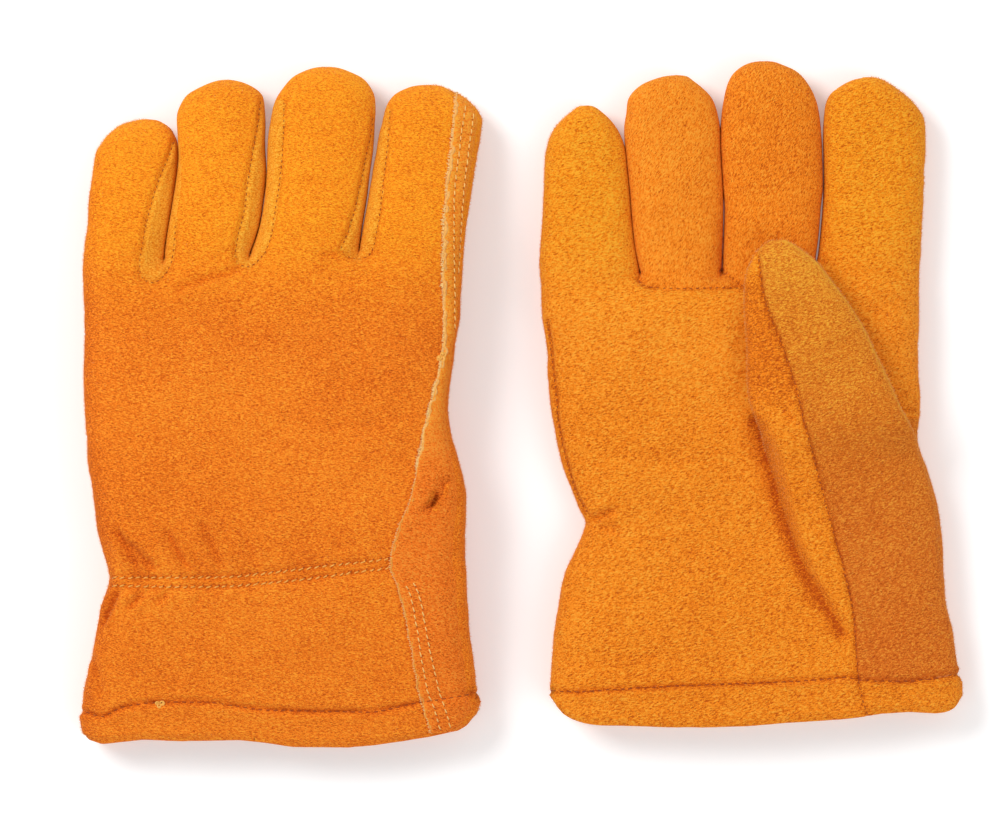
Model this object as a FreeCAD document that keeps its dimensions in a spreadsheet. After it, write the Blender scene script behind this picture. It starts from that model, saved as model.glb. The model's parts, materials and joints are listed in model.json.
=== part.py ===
import FreeCAD, Part
import Sketcher
import os

# A pair of heavy split-leather work gloves, lying flat and side by side.
# Millimetres and degrees: X across the pair, Y from the cuffs to the fingertips,
# Z up, origin at the bottom centre of the pair. The glove on -X is the left-hand
# glove, palm down with its thumb tucked under the palm. The glove on +X is the
# right-hand glove, palm up with its thumb folded over the palm.
# Every leather panel is an open tray, so that a back tray and a palm tray close
# on each other along a side seam and leave the hollow that the hand fills.

V = FreeCAD.Vector

# ---------------------------------------------------------------- dimensions
SIZES = {
    "leather": 1.5,            # one layer of split cowhide
    "finger_wall": 3.2,        # leather with its lining, in the fingers
    "lining_wall": 2.4,        # fleece lining of the hand
    "lining_inset": 2.4,       # from the hand's outer faces to its lining
    "hand_height": 23.0,       # back to palm, lying flat
    "finger_height": 19.0,
    "thumb_height": 14.0,
    "seam_gap": 0.2,           # between the rims of a back tray and a front tray
    "edge_round": 4.0,         # outer corners of the digits
    "side_round": 2.8,         # outer corners of the hand
    "back_gap": 2.0,           # base crease to panel, back of a finger and all of a thumb
    "front_gap": 4.5,          # base crease to panel, palm side of a finger
    "mid_back_gap": 1.5,       # middle crease to panel, back or inner side
    "mid_front_gap": 4.0,      # middle crease to panel, palm or outer side
    "axis_depth": 4.0,         # bending axis below a finger's palm face
    "tip_depth": 10.0,         # length of the rounded end of a digit
    "left_back_level": 37.5,   # outer face of the back of each hand
    "right_back_level": 0.0,
    "thread": 0.6,
    "thread_height": 1.6,      # above the back's outer face, like the next three
    "elastic_height": 2.3,
    "web_low": 3.0,
    "web_high": 19.0,
    "elastic_thick": 1.2,
    "elastic_wide": 6.5,
    "web_wide": 3.0,
    "web_long": 6.5,
    "web_setback": 4.0,        # a web's start, short of the fingers' split
    "cuff_height": 22.0,
    "sleeve_wall": 3.0,
    "hem_wall": 4.0,
    "hemline_wall": 1.0,
}

# x, y, z: the base crease on its bending axis. lean: angle from +Y towards +X.
# tilt: slope down towards the tip. length and mid: from the base crease to the
# tip and to the middle crease. half_*: half widths along the digit.
DIGIT_COLUMNS = ("x", "y", "z", "lean", "tilt", "length", "mid",
                 "half_base", "half_mid", "half_tip")
DIGITS = {
    "left_little": (-150.29, 65.55, 20.5, 7.77, 21.33, 45.29, 20.83, 13.68, 13.87, 12.16),
    "left_ring": (-117.23, 67.07, 20.5, 4.7, 16.38, 58.02, 26.69, 14.82, 14.82, 13.68),
    "left_middle": (-80.37, 69.35, 20.5, 6.75, 15.7, 60.42, 27.79, 18.05, 18.24, 16.34),
    "left_index": (-40.47, 68.59, 20.5, 7.54, 17.45, 54.64, 25.14, 17.48, 17.86, 15.96),
    "left_thumb": (-55.67, -3.99, 13.9, -17.41, 0.0, 67.3, 33.65, 23.0, 19.5, 13.0),
    "right_little": (24.89, 60.23, 15.0, -0.83, 0.0, 52.45, 24.12, 16.15, 14.63, 11.78),
    "right_ring": (59.28, 60.23, 15.0, -1.53, 0.0, 63.86, 29.38, 15.2, 16.15, 14.06),
    "right_middle": (94.81, 67.07, 15.0, -0.69, 0.0, 62.7, 28.84, 17.1, 17.86, 14.82),
    "right_index": (132.43, 63.27, 15.0, 0.37, 0.0, 59.28, 27.27, 17.86, 18.24, 15.96),
    "right_thumb": (117.61, -7.79, 23.6, -16.64, 0.0, 72.98, 36.49, 25.0, 20.5, 13.5),
}

# The origin of each cuff's own frame, and its slope down towards the hem.
CUFF_COLUMNS = ("x", "y", "z", "tilt")
CUFFS = {
    "left_cuff": (-89.11, -65.17, 26.0, 13.22),
    "right_cuff": (91.77, -46.93, 11.5, 0.0),
}

# Plan outlines as (x, y). The sleeve, hem and hemline are in the cuff's frame,
# the rest in the pair's. A hollow runs past its outline where the piece is open.
OUTLINES = {
    "right_back": [
        (24.89, -42.75), (15.01, -17.29), (10.07, 16.91), (7.41, 45.41), (8.77, 58.0),
        (41.07, 58.46), (43.03, 50.35), (47.03, 50.35), (44.14, 57.82), (74.53, 58.64),
        (73.81, 51.11), (77.81, 51.11), (77.74, 64.86), (111.93, 65.28), (110.29, 54.53),
        (114.29, 54.53), (114.56, 61.39), (150.28, 61.15), (151.05, 45.41),
        (150.29, -13.49), (158.27, -42.75)],
    "right_palm": [
        (24.89, -42.75), (15.01, -17.29), (10.07, 16.91), (7.41, 45.41), (8.81, 55.5),
        (41.1, 55.96), (43.03, 50.35), (47.03, 50.35), (44.21, 55.33), (74.59, 56.14),
        (73.81, 51.11), (77.81, 51.11), (77.77, 62.36), (111.96, 62.78), (110.29, 54.53),
        (114.29, 54.53), (114.54, 58.89), (150.26, 58.65), (151.05, 45.41),
        (150.52, -6.27), (105.45, -6.27), (116.47, -42.75)],
    "right_wing": [
        (106.4, -7.41), (150.48, -7.41), (150.29, -13.49), (158.27, -42.75),
        (117.61, -42.75)],
    "right_hand_hollow": [
        (26.49, -48.75), (26.49, -42.75), (16.61, -17.29), (11.67, 16.91), (9.01, 45.41),
        (9.01, 71.28), (149.45, 71.28), (149.45, 45.41), (148.69, -13.49),
        (156.67, -42.75), (156.67, -48.75)],
    "right_lining": [
        (24.0, -34.01), (17.51, -17.29), (12.57, 16.91), (10.16, 42.75), (148.52, 42.75),
        (147.79, -13.49), (153.39, -34.01)],
    "right_lining_hollow": [
        (28.05, -38.01), (20.01, -17.29), (15.07, 16.91), (12.41, 45.41), (12.41, 46.75),
        (146.05, 46.75), (146.05, 45.41), (145.29, -13.49), (151.98, -38.01)],
    "left_back": [
        (-156.37, -60.99), (-161.31, -45.79), (-165.87, -5.89), (-165.49, 49.21),
        (-164.11, 65.42), (-137.01, 61.72), (-137.85, 55.29), (-133.85, 55.29),
        (-132.16, 66.29), (-102.62, 63.86), (-105.55, 56.43), (-101.55, 56.43),
        (-98.53, 69.49), (-62.68, 65.24), (-63.75, 57.57), (-59.75, 57.57),
        (-58.06, 68.9), (-23.4, 64.31), (-22.99, 49.21), (-27.93, 5.51),
        (-22.23, -24.89), (-22.23, -60.99)],
    "left_palm": [
        (-156.37, -60.99), (-161.31, -45.79), (-165.87, -5.89), (-165.49, 49.21),
        (-164.45, 62.94), (-137.34, 59.24), (-137.85, 55.29), (-133.85, 55.29),
        (-132.37, 63.8), (-102.83, 61.37), (-105.55, 56.43), (-101.55, 56.43),
        (-98.82, 67.0), (-62.97, 62.76), (-63.75, 57.57), (-59.75, 57.57),
        (-58.39, 66.42), (-23.73, 61.84), (-22.99, 49.21), (-27.47, 9.31),
        (-27.85, -2.47), (-69.35, -2.47), (-58.71, -60.99)],
    "left_wing": [
        (-68.21, -3.61), (-27.85, -3.61), (-22.23, -24.89), (-22.23, -60.99),
        (-57.57, -60.99)],
    "left_hand_hollow": [
        (-154.77, -66.99), (-154.77, -60.99), (-159.71, -45.79), (-164.27, -5.89),
        (-163.89, 49.21), (-163.89, 75.49), (-24.59, 75.49), (-24.59, 49.21),
        (-29.53, 5.51), (-23.83, -24.89), (-23.83, -60.99), (-23.83, -66.99)],
    "left_lining": [
        (-156.71, -52.25), (-158.81, -45.79), (-163.37, -5.89), (-163.01, 45.79),
        (-25.88, 45.79), (-30.43, 5.51), (-24.73, -24.89), (-24.73, -52.25)],
    "left_lining_hollow": [
        (-152.91, -56.25), (-156.31, -45.79), (-160.87, -5.89), (-160.49, 49.21),
        (-160.49, 49.79), (-27.99, 49.79), (-27.99, 49.21), (-32.93, 5.51),
        (-27.23, -24.89), (-27.23, -56.25)],
    "right_sleeve": [
        (-80.56, -58.9), (-77.14, -27.36), (-68.78, -4.18), (66.88, -4.18),
        (69.54, -27.36), (74.48, -58.9)],
    "right_hem": [
        (-80.56, -60.61), (-80.18, -67.64), (-71.06, -74.1), (30.78, -73.34),
        (72.58, -69.92), (74.86, -63.84), (74.48, -60.61)],
    "right_hemline": [
        (-80.56, -60.27), (-80.56, -59.24), (74.48, -59.24), (74.48, -60.27)],
    "right_sleeve_hollow": [
        (-77.56, -61.9), (-77.56, -58.9), (-74.14, -27.36), (-65.78, -4.18),
        (-65.78, -1.18), (63.88, -1.18), (63.88, -4.18), (66.54, -27.36),
        (71.48, -58.9), (71.48, -61.9)],
    "right_hem_hollow": [
        (-70.56, -77.1), (-74.56, -66.61), (-74.56, -57.61), (69.36, -57.61),
        (69.36, -66.61), (67.36, -77.1)],
    "right_hemline_hollow": [
        (-79.56, -62.27), (-79.56, -57.24), (73.48, -57.24), (73.48, -62.27)],
    "left_sleeve": [
        (-77.52, -48.01), (-72.2, -21.08), (-66.88, -4.29), (67.26, -4.29),
        (68.78, -21.08), (71.82, -48.01)],
    "left_hem": [
        (-77.52, -49.96), (-77.52, -60.89), (-74.1, -65.19), (38.0, -65.58),
        (54.34, -63.23), (68.4, -59.72), (71.82, -53.09), (71.82, -49.96)],
    "left_hemline": [
        (-77.52, -49.61), (-77.52, -48.36), (71.82, -48.36), (71.82, -49.61)],
    "left_sleeve_hollow": [
        (-74.52, -51.01), (-74.52, -48.01), (-69.2, -21.08), (-63.88, -4.29),
        (-63.88, -1.29), (64.26, -1.29), (64.26, -4.29), (65.78, -21.08),
        (68.82, -48.01), (68.82, -51.01)],
    "left_hem_hollow": [
        (-71.42, -68.58), (-72.92, -55.96), (-72.92, -46.96), (64.62, -46.96),
        (64.62, -55.96), (62.62, -68.58)],
    "left_hemline_hollow": [
        (-76.52, -51.61), (-76.52, -46.36), (70.82, -46.36), (70.82, -51.61)],
}

# Where each split between two fingers ends in a back outline: the first of the
# two points that bound its end.
SPLIT_POINTS = (6, 10, 14)

# elastic_x, elastic_y: ends of the wrist elastic and its edge nearest the cuff.
# stitch_x: ends of the stitch rows over it. seam_x: the outer of the two side
# seam rows. seam_y: their ends.
SEWING = {
    "left": dict(elastic_x=(-150.0, -33.0), elastic_y=-61.6, stitch_x=(-150.0, -36.0),
                 seam_x=-32.5, seam_y=(18.0, 48.0)),
    "right": dict(elastic_x=(30.0, 151.5), elastic_y=-42.2, stitch_x=(31.0, 150.0),
                  seam_x=143.4, seam_y=(0.0, 44.0)),
}
STITCH_OFFSETS = (1.2, 5.0)    # rows over the elastic, from elastic_y
SEAM_PITCH = 3.0               # between the two side seam rows

PALM_WAY = {"left": -1, "right": 1}    # the way each palm faces, along Z

# Selection of a panel's long outer edges for rounding.
SIDE_BAND = 12.0    # such an edge lies within this of the panel's -X or +X extreme
SIDE_RUN = 4.0      # and runs further than this along Y

# --------------------------------------------------------------------- sheet
doc = FreeCAD.newDocument("work_gloves")
sheet = doc.addObject("Spreadsheet::Sheet", "Params")
NUM = {}      # present value of each alias
PARTS = {}    # the pieces to export, by name


def add_cells(prefix, numbers):
    """Driving dimensions in the sheet, one row each, under prefix + key."""
    for key, number in numbers.items():
        alias = prefix + key
        row = len(NUM) + 1
        sheet.set("A%d" % row, alias.replace("_", " "))
        sheet.set("B%d" % row, "%.4f" % number)
        sheet.setAlias("B%d" % row, alias)
        NUM[alias] = float("%.4f" % number)
    sheet.recompute()


def outline_cells(points):
    numbers = {}
    for i, (x, y) in enumerate(points):
        numbers["x%d" % i] = x
        numbers["y%d" % i] = y
    return numbers


add_cells("", SIZES)
for key, numbers in DIGITS.items():
    add_cells(key + "_", dict(zip(DIGIT_COLUMNS, numbers)))
for key, numbers in CUFFS.items():
    add_cells(key + "_", dict(zip(CUFF_COLUMNS, numbers)))
for key, points in OUTLINES.items():
    add_cells(key + "_", outline_cells(points))


# A coordinate is a string of signed aliases, such as "+cuff_height -leather".
def formula(terms):
    text = " ".join("%s Params.%s" % (term[0], term[1:]) for term in terms.split())
    return text.lstrip("+ ")


def value(terms):
    return sum((-1 if term[0] == "-" else 1) * NUM[term[1:]] for term in terms.split())


def outline(key):
    """The points of one of OUTLINES as coordinates."""
    return [("+%s_x%d" % (key, i), "+%s_y%d" % (key, i)) for i in range(len(OUTLINES[key]))]


# ------------------------------------------------------------------ features
def refresh(*objects):
    for item in objects:
        item.recompute()


def outline_sketch(body, name, points, level, rise=None):
    """Closed outline parallel to the body's XY plane, at level. With rise, the
    side after the third point is an arc that bulges by it towards +Y; that
    side lies across X = 0."""
    sketch = body.newObject("Sketcher::SketchObject", name)
    ground = next(f for f in body.Origin.OriginFeatures if f.Role == "XY_Plane")
    sketch.AttachmentSupport = [(ground, "")]
    sketch.MapMode = "FlatFace"
    sketch.AttachmentOffset = FreeCAD.Placement(V(0, 0, value(level)), FreeCAD.Rotation())
    sketch.setExpression("AttachmentOffset.Base.z", formula(level))
    corners = [V(value(x), value(y), 0) for x, y in points]
    count = len(points)
    arc_side = 2
    for i in range(count):
        start, end = corners[i], corners[(i + 1) % count]
        if rise is not None and i == arc_side:
            middle = V((start.x + end.x) / 2.0, start.y + value(rise), 0)
            side = Part.Arc(start, middle, end)
        else:
            side = Part.LineSegment(start, end)
        sketch.addGeometry(side, False)
    for i in range(count):
        sketch.addConstraint(Sketcher.Constraint("Coincident", i, 2, (i + 1) % count, 1))
    for i, corner in enumerate(corners):
        for kind, number, terms in (("DistanceX", corner.x, points[i][0]),
                                    ("DistanceY", corner.y, points[i][1])):
            index = sketch.addConstraint(Sketcher.Constraint(kind, -1, 1, i, 1, number))
            sketch.setExpression("Constraints[%d]" % index, formula(terms))
    if rise is not None:
        half = abs(corners[arc_side].x)
        bulge = value(rise)
        radius = (half * half + bulge * bulge) / (2.0 * bulge)
        index = sketch.addConstraint(Sketcher.Constraint("Radius", arc_side, radius))
        sketch.setExpression(
            "Constraints[%d]" % index,
            "(({0}) * ({0}) + ({1}) * ({1})) / (2 * ({1}))".format(
                formula(points[arc_side][0]), formula(rise)))
    return sketch


def extrude(body, kind, name, sketch, length):
    feature = body.newObject("PartDesign::" + kind, name)
    feature.Profile = sketch
    feature.Length = value(length)
    feature.setExpression("Length", formula(length))
    if kind == "Pocket":
        feature.Reversed = True    # cuts towards +Z
    body.Tip = feature
    refresh(sketch, feature)


def padded_body(name, points, low, deep, rise=None):
    body = doc.addObject("PartDesign::Body", name)
    body.Label = name
    PARTS[name] = body
    sketch = outline_sketch(body, name + "_outline", points, low, rise)
    extrude(body, "Pad", name + "_pad", sketch, deep)
    return body


def cut_hollow(body, points, low, deep, rise=None):
    name = body.Label
    before = body.Tip.Shape.Volume
    sketch = outline_sketch(body, name + "_hollow", points, low, rise)
    extrude(body, "Pocket", name + "_pocket", sketch, deep)
    if body.Tip.Shape.Volume > before - 1.0:
        raise RuntimeError(name + ": the hollow wasn't cut")


def round_sides(body, level, radius):
    """Rounds the long edges at level along the -X and +X sides."""
    solid = body.Tip
    xs = [vertex.X for vertex in solid.Shape.Vertexes]
    left_limit, right_limit = min(xs) + SIDE_BAND, max(xs) - SIDE_BAND
    names = []
    for i, edge in enumerate(solid.Shape.Edges):
        start, end = edge.Vertexes[0].Point, edge.Vertexes[-1].Point
        at_level = abs(start.z - level) < 1e-4 and abs(end.z - level) < 1e-4
        at_side = min(start.x, end.x) > right_limit or max(start.x, end.x) < left_limit
        if at_level and at_side and abs(start.y - end.y) > SIDE_RUN:
            names.append("Edge%d" % (i + 1))
    fillet = body.newObject("PartDesign::Fillet", body.Label + "_round")
    fillet.Base = (solid, names)
    fillet.Radius = NUM[radius]
    fillet.setExpression("Radius", "Params." + radius)
    body.Tip = fillet
    refresh(fillet)


def tray(name, points, hollow, low, deep, wall, closed_below, radius=None, rises=(None, None)):
    """Open tray, its closed face below or above. radius rounds the sides of that
    face; rises are the end arcs of the outline and of the hollow."""
    add_cells(name, {"_low": low, "_deep": deep})
    bottom, depth = "+%s_low" % name, "+%s_deep" % name
    body = padded_body(name, points, bottom, depth, rises[0])
    if radius:
        round_sides(body, value(bottom if closed_below else bottom + " " + depth), radius)
    inward = " +" if closed_below else " -"
    cut_hollow(body, hollow, bottom + inward + wall, depth, rises[1])
    return body


def tube(name, key, low, deep, wall):
    """Flat tube with a wall above and below its hollow."""
    add_cells(name, {"_low": low, "_deep": deep})
    bottom, depth = "+%s_low" % name, "+%s_deep" % name
    body = padded_body(name, outline(key), bottom, depth)
    cut_hollow(body, outline(key + "_hollow"), bottom + " +" + wall,
               "{0} -{1} -{1}".format(depth, wall))
    return body


def blocks(name, boxes):
    """Several separate blocks in one piece, each (x0, x1, y0, y1, z0, z1)."""
    pieces = []
    for i, (x0, x1, y0, y1, z0, z1) in enumerate(boxes):
        block_name = "%s_%d" % (name, i + 1)
        block = doc.addObject("Part::Box", block_name)
        add_cells(block_name, {"_x0": x0, "_y0": y0, "_z0": z0,
                               "_long": x1 - x0, "_wide": y1 - y0, "_deep": z1 - z0})
        for target, suffix in (("Length", "long"), ("Width", "wide"), ("Height", "deep"),
                               ("Placement.Base.x", "x0"), ("Placement.Base.y", "y0"),
                               ("Placement.Base.z", "z0")):
            block.setExpression(target, "Params.%s_%s" % (block_name, suffix))
        pieces.append(block)
    whole = doc.addObject("Part::Compound", name)
    whole.Label = name
    whole.Links = pieces
    PARTS[name] = whole


def place(body, key, lean, pitch):
    """Moves a body to its crease, leant towards +X, its +Y end pitched up."""
    turn = FreeCAD.Rotation(V(0, 0, 1), -lean).multiply(FreeCAD.Rotation(V(1, 0, 0), pitch))
    body.Placement = FreeCAD.Placement(V(*(NUM["%s_%s" % (key, axis)] for axis in "xyz")), turn)
    for axis in "xyz":
        body.setExpression("Placement.Base." + axis, "Params.%s_%s" % (key, axis))


# -------------------------------------------------------------------- digits
# A digit's own frame: Y along it from the base crease, Z up, Z = 0 on the axis.
def inset_sides(half_width, wall):
    """The -X and +X sides of a hollow."""
    return "-%s +%s" % (half_width, wall), "+%s -%s" % (half_width, wall)


def base_outlines(key, wall, crease_gap, mid_gap):
    """Outline and hollow of a base segment, open at both ends."""
    near, far = key + "_half_base", key + "_half_mid"
    start, end = "+" + crease_gap, "+%s_mid -%s" % (key, mid_gap)
    points = [("-" + near, start), ("+" + near, start), ("+" + far, end), ("-" + far, end)]
    near_left, near_right = inset_sides(near, wall)
    far_left, far_right = inset_sides(far, wall)
    before, beyond = "-" + wall, "+%s_mid +%s" % (key, wall)
    hollow = [(near_left, before), (near_right, before), (near_right, start),
              (far_right, end), (far_right, beyond), (far_left, beyond),
              (far_left, end), (near_left, start)]
    return points, hollow


def tip_outlines(key, wall, mid_gap):
    """Outline and hollow of a tip segment, open at the middle crease."""
    near, far = key + "_half_mid", key + "_half_tip"
    start, end = "+%s_mid +%s" % (key, mid_gap), "+%s_length -tip_depth" % key
    points = [("-" + near, start), ("+" + near, start), ("+" + far, end), ("-" + far, end)]
    near_left, near_right = inset_sides(near, wall)
    far_left, far_right = inset_sides(far, wall)
    before = "+%s_mid -%s" % (key, wall)
    hollow = [(near_left, before), (near_right, before), (far_right, end), (far_left, end)]
    return points, hollow


def digit(side, finger):
    """The four trays of one finger or thumb."""
    key = "%s_%s" % (side, finger)
    palm_up = PALM_WAY[side] > 0
    if finger == "thumb":
        # The inner trays lie against the palm, the outer ones away from it.
        height, wall, base_height = NUM["thumb_height"], "leather", 0.0
        faces = (("inner", "back_gap", "mid_back_gap"), ("outer", "back_gap", "mid_front_gap"))
    else:
        height, wall = NUM["finger_height"], "finger_wall"
        base_height = NUM["axis_depth"] - height
        faces = (("back", "back_gap", "mid_back_gap"), ("front", "front_gap", "mid_front_gap"))
    deep = (height - NUM["seam_gap"]) / 2.0
    # Heights of the two trays from the axis, along the way the palm faces.
    tray_heights = (base_height, base_height + height - deep)
    for segment in ("base", "tip"):
        for i, (face, crease_gap, mid_gap) in enumerate(faces):
            low = tray_heights[i] if palm_up else -(tray_heights[i] + deep)
            if segment == "base":
                points, hollow = base_outlines(key, wall, crease_gap, mid_gap)
                radius, rises = "edge_round", (None, None)
            else:
                points, hollow = tip_outlines(key, wall, mid_gap)
                radius, rises = None, ("+tip_depth", "+tip_depth -" + wall)
            body = tray("%s_%s_%s" % (key, segment, face), points, hollow, low, deep, wall,
                        (i == 0) == palm_up, radius, rises)
            place(body, key, NUM[key + "_lean"], -NUM[key + "_tilt"])


# ---------------------------------------------------------------------- hand
def levels(side, low, high):
    """Two heights from the back towards the palm, as lower and upper Z."""
    back = NUM[side + "_back_level"]
    return sorted((back + PALM_WAY[side] * low, back + PALM_WAY[side] * high))


def hand_panels(side):
    """Back, palm and the wing beside the palm, below the thumb."""
    deep = (NUM["hand_height"] - NUM["seam_gap"]) / 2.0
    palm_height = NUM["hand_height"] - deep
    for part, name, height in (("back", "back_panel", 0.0),
                               ("palm", "palm_panel", palm_height),
                               ("wing", "thumb_wing", palm_height)):
        low = levels(side, height, height + deep)[0]
        tray("%s_%s" % (side, name), outline("%s_%s" % (side, part)),
             outline(side + "_hand_hollow"), low, deep, "leather",
             (part == "back") == (PALM_WAY[side] > 0), "side_round")


def hand_lining(side):
    """The fleece lining: a flat sleeve inside the hand."""
    inset = NUM["lining_inset"]
    z0, z1 = levels(side, inset, NUM["hand_height"] - inset)
    tube(side + "_hand_lining", side + "_lining", z0, z1 - z0, "lining_wall")


def wrist_elastic(side):
    """Elastic strip across the back of the wrist."""
    name = side + "_wrist_elastic"
    x0, x1 = SEWING[side]["elastic_x"]
    y0 = SEWING[side]["elastic_y"]
    low = NUM["elastic_height"]
    z0, z1 = levels(side, low, low + NUM["elastic_thick"])
    add_cells(name, {"_x0": x0, "_x1": x1, "_y0": y0, "_y1": y0 + NUM["elastic_wide"],
                     "_z0": z0, "_deep": z1 - z0})
    left, right, near, far, bottom, depth = (
        "+%s_%s" % (name, suffix) for suffix in ("x0", "x1", "y0", "y1", "z0", "deep"))
    padded_body(name, [(left, near), (right, near), (right, far), (left, far)], bottom, depth)


def finger_forks(side):
    """The webs between neighbouring fingers, centred on the splits."""
    back = OUTLINES[side + "_back"]
    z0, z1 = levels(side, NUM["web_low"], NUM["web_high"])
    half = NUM["web_wide"] / 2
    webs = []
    for i in SPLIT_POINTS:
        middle = (back[i][0] + back[i + 1][0]) / 2
        y0 = back[i][1] - NUM["web_setback"]
        webs.append((middle - half, middle + half, y0, y0 + NUM["web_long"], z0, z1))
    blocks(side + "_finger_forks", webs)


def seam_threads(side):
    """Two stitch rows over the elastic and two along the lapped side seam."""
    sewing = SEWING[side]
    thread, low = NUM["thread"], NUM["thread_height"]
    z0, z1 = levels(side, low, low + thread)
    rows = []
    for offset in STITCH_OFFSETS:
        y = sewing["elastic_y"] + offset
        rows.append((*sewing["stitch_x"], y, y + thread, z0, z1))
    for x in (sewing["seam_x"], sewing["seam_x"] - SEAM_PITCH):
        rows.append((x, x + thread, *sewing["seam_y"], z0, z1))
    blocks(side + "_seam_threads", rows)


# ---------------------------------------------------------------------- cuff
def cuff(side):
    """Sleeve, hem and the thread line between them."""
    key = side + "_cuff"
    tall = NUM["cuff_height"]
    for name, part in (("cuff_sleeve", "sleeve"), ("cuff_hem", "hem"),
                       ("hem_thread", "hemline")):
        body = tube("%s_%s" % (side, name), "%s_%s" % (side, part), -tall / 2.0, tall,
                    part + "_wall")
        place(body, key, 0.0, NUM[key + "_tilt"])


for side in ("left", "right"):
    for finger in ("index", "middle", "ring", "little", "thumb"):
        digit(side, finger)
    hand_panels(side)
    hand_lining(side)
    wrist_elastic(side)
    finger_forks(side)
    seam_threads(side)
    cuff(side)

# -------------------------------------------------------------------- export
doc.recompute()
for obj in doc.Objects:
    if any(flag in obj.State for flag in ("Invalid", "Error")):
        raise RuntimeError("%s: %s" % (obj.Name, obj.State))
for name, part in PARTS.items():
    if part.Shape.isNull() or not part.Shape.isValid() or not part.Shape.Solids:
        raise RuntimeError(name + ": no valid solid")

os.makedirs("parts", exist_ok=True)
for name, part in PARTS.items():
    part.Shape.exportStep(os.path.join("parts", name + ".step"))
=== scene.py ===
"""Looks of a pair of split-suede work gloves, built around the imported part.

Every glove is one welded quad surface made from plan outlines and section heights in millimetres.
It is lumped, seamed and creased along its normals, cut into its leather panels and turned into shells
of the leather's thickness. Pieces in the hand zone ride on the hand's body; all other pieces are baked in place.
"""
import bpy
import json
import math
import numpy as np
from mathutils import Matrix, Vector
from mathutils.bvhtree import BVHTree


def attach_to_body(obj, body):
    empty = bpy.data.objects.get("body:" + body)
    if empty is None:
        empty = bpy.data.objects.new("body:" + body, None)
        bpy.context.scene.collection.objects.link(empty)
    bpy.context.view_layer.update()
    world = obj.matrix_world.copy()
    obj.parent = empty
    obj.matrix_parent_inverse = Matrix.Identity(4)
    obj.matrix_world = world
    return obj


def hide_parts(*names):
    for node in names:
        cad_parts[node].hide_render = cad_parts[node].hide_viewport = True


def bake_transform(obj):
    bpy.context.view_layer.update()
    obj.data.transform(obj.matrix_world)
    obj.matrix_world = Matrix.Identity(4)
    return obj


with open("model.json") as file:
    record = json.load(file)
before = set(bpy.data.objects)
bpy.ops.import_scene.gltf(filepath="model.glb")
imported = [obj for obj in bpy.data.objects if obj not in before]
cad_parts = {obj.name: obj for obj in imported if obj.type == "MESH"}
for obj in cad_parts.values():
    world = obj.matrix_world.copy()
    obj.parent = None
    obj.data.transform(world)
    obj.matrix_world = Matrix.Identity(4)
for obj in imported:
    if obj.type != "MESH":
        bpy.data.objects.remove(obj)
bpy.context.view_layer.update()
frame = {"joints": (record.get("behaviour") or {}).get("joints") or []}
JOINT = {j["name"]: j for j in frame["joints"]}
TILT = {"little": 21.33, "ring": 16.38, "middle": 15.7, "index": 17.45, "cuff": 13.22}

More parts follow.
